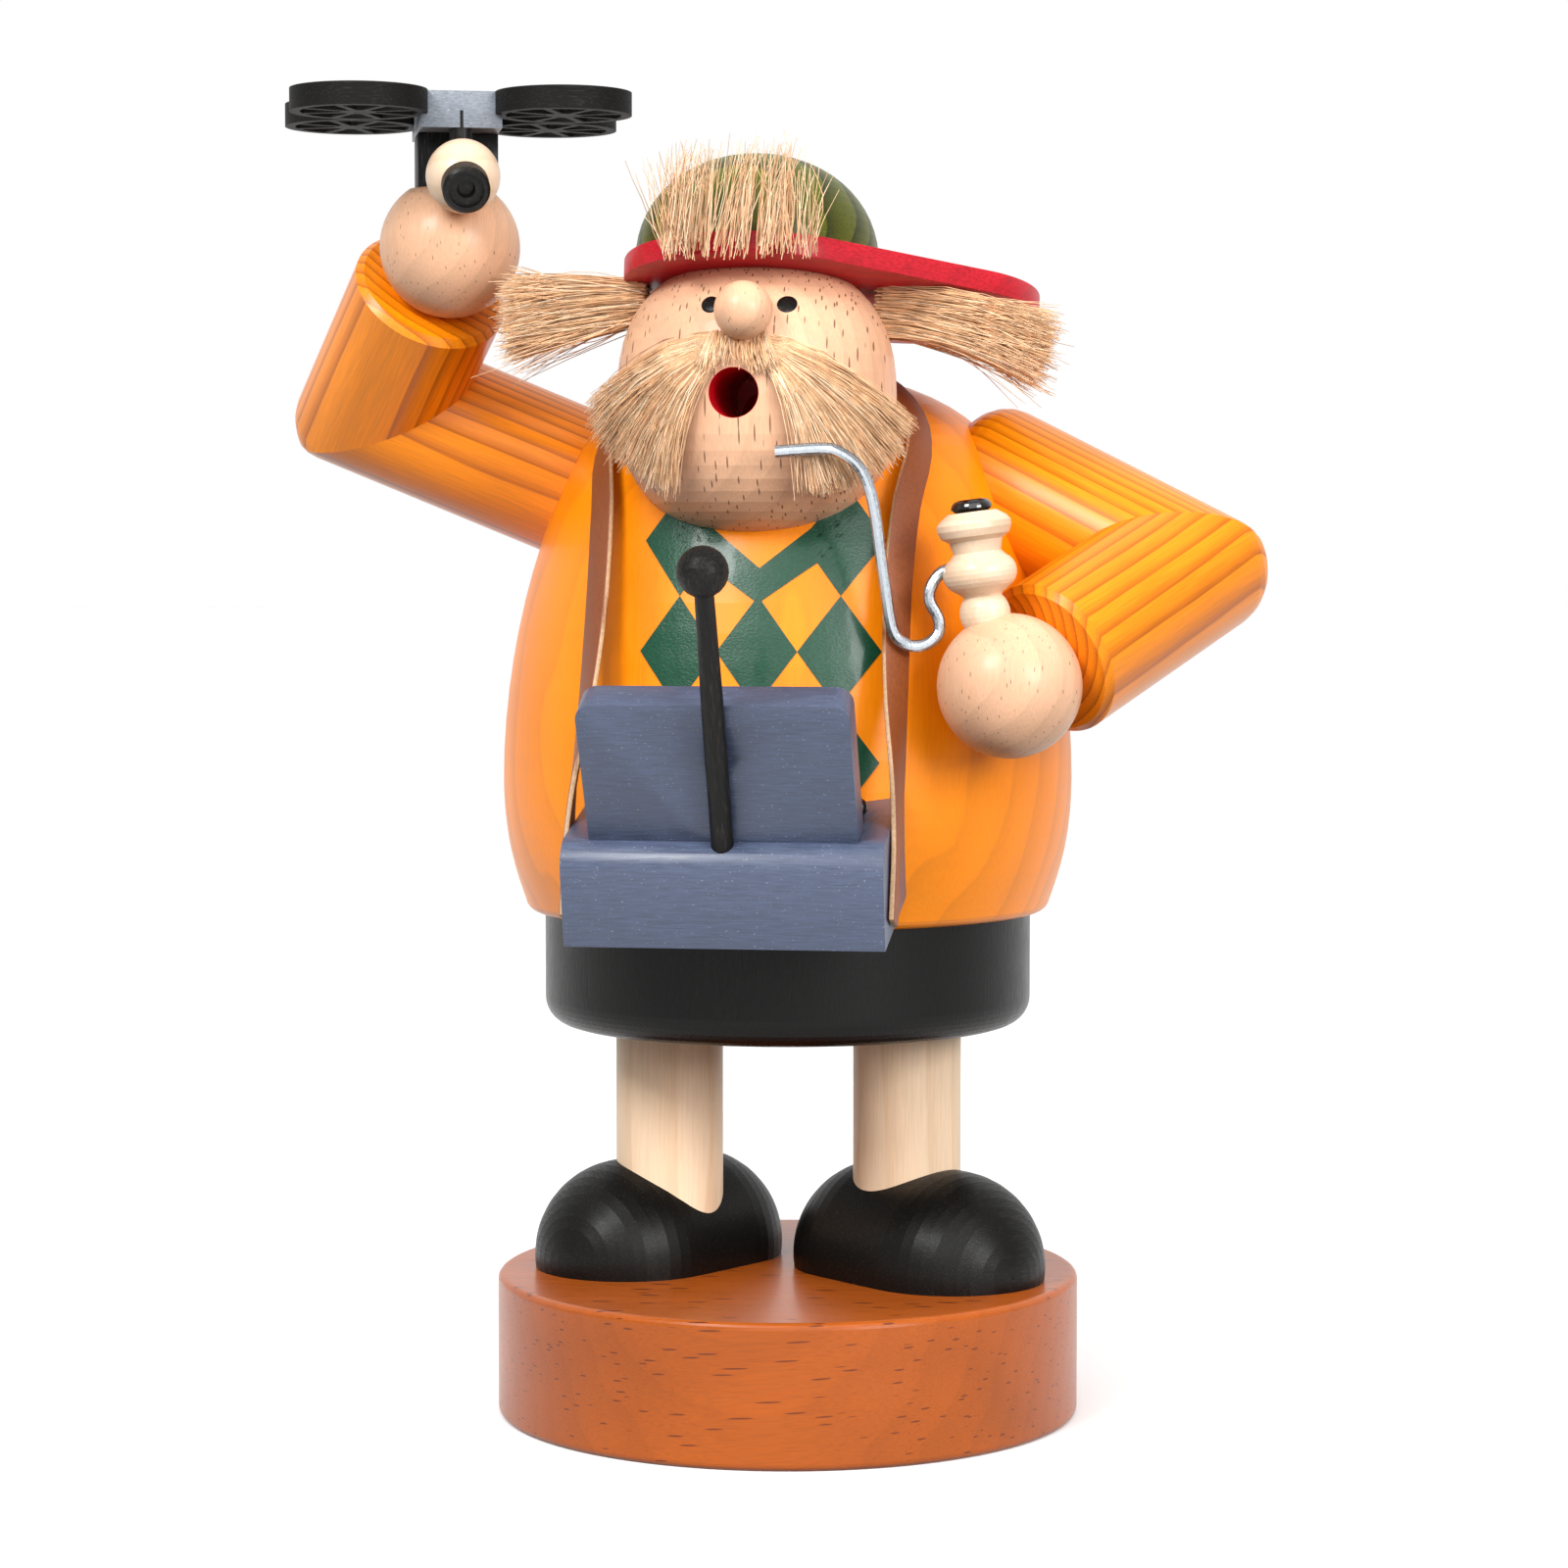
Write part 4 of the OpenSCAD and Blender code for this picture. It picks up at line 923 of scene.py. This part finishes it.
class OBJECT_OT_smoker_stage(bpy.types.Operator):
    """Sets the pale floor, the soft studio lights and the camera"""
    bl_idname = "object.smoker_stage"
    bl_label = "Set Stage"

    def execute(self, context):
        scene, s = context.scene, context.scene.smoker_stage
        white_floor()
        scene.world = graded_world(s.turn)
        for name, place, size, power in LAMPS:
            from_middle = Vector(place) - LIT_POINT
            lamp = hang_lamp(name, "AREA", power, place, from_middle.to_track_quat("Z", "Y").to_euler())
            lamp.size = size
        # the ceiling's light is a wide soft sun, tipped towards the figure's front
        ceiling = hang_lamp("ceiling", "SUN", 1.8, rotation=(math.radians(50), 0, math.radians(14)))
        ceiling.angle = math.radians(70)
        stand_camera(s)
        scene.view_settings.view_transform = "Standard"
        return {"FINISHED"}


# ---------------------------------------------------------------- panel and start

STEPS = (
    OBJECT_OT_smoker_stage, OBJECT_OT_smoker_wood, OBJECT_OT_smoker_small_parts,
    OBJECT_OT_smoker_sawn_boards, OBJECT_OT_smoker_strap, OBJECT_OT_smoker_eyes,
    OBJECT_OT_smoker_diamonds, OBJECT_OT_smoker_moustache, OBJECT_OT_smoker_tufts)


class VIEW3D_PT_smoker(bpy.types.Panel):
    """Lists the figure's settings and steps"""
    bl_idname = "VIEW3D_PT_smoker"
    bl_label = "Incense Smoker Figure"
    bl_space_type = "VIEW_3D"
    bl_region_type = "UI"
    bl_category = "Smoker"

    def draw(self, context):
        column = self.layout.column()
        for group in (context.scene.smoker_colours, context.scene.smoker_hair, context.scene.smoker_stage):
            for setting in group.bl_rna.properties:
                if setting.identifier not in ("rna_type", "name"):
                    column.prop(group, setting.identifier)
        for step in STEPS:
            column.operator(step.bl_idname)


CLASSES = (FigureColours, HairSizes, StageSettings, *STEPS, VIEW3D_PT_smoker)


def register():
    for cls in CLASSES:
        bpy.utils.register_class(cls)
    bpy.types.Scene.smoker_colours = bpy.props.PointerProperty(type=FigureColours)
    bpy.types.Scene.smoker_hair = bpy.props.PointerProperty(type=HairSizes)
    bpy.types.Scene.smoker_stage = bpy.props.PointerProperty(type=StageSettings)


def unregister():
    del bpy.types.Scene.smoker_stage
    del bpy.types.Scene.smoker_hair
    del bpy.types.Scene.smoker_colours
    for cls in reversed(CLASSES):
        bpy.utils.unregister_class(cls)


def main():
    register()
    bpy.ops.object.smoker_stage()
    bpy.ops.object.smoker_wood()
    bpy.ops.object.smoker_small_parts()
    bpy.ops.object.smoker_sawn_boards()
    bpy.ops.object.smoker_strap()
    bpy.ops.object.smoker_eyes()
    bpy.ops.object.smoker_diamonds()
    bpy.ops.object.smoker_moustache()
    bpy.ops.object.smoker_tufts()
    bpy.context.view_layer.update()


if __name__ == "__main__":
    main()
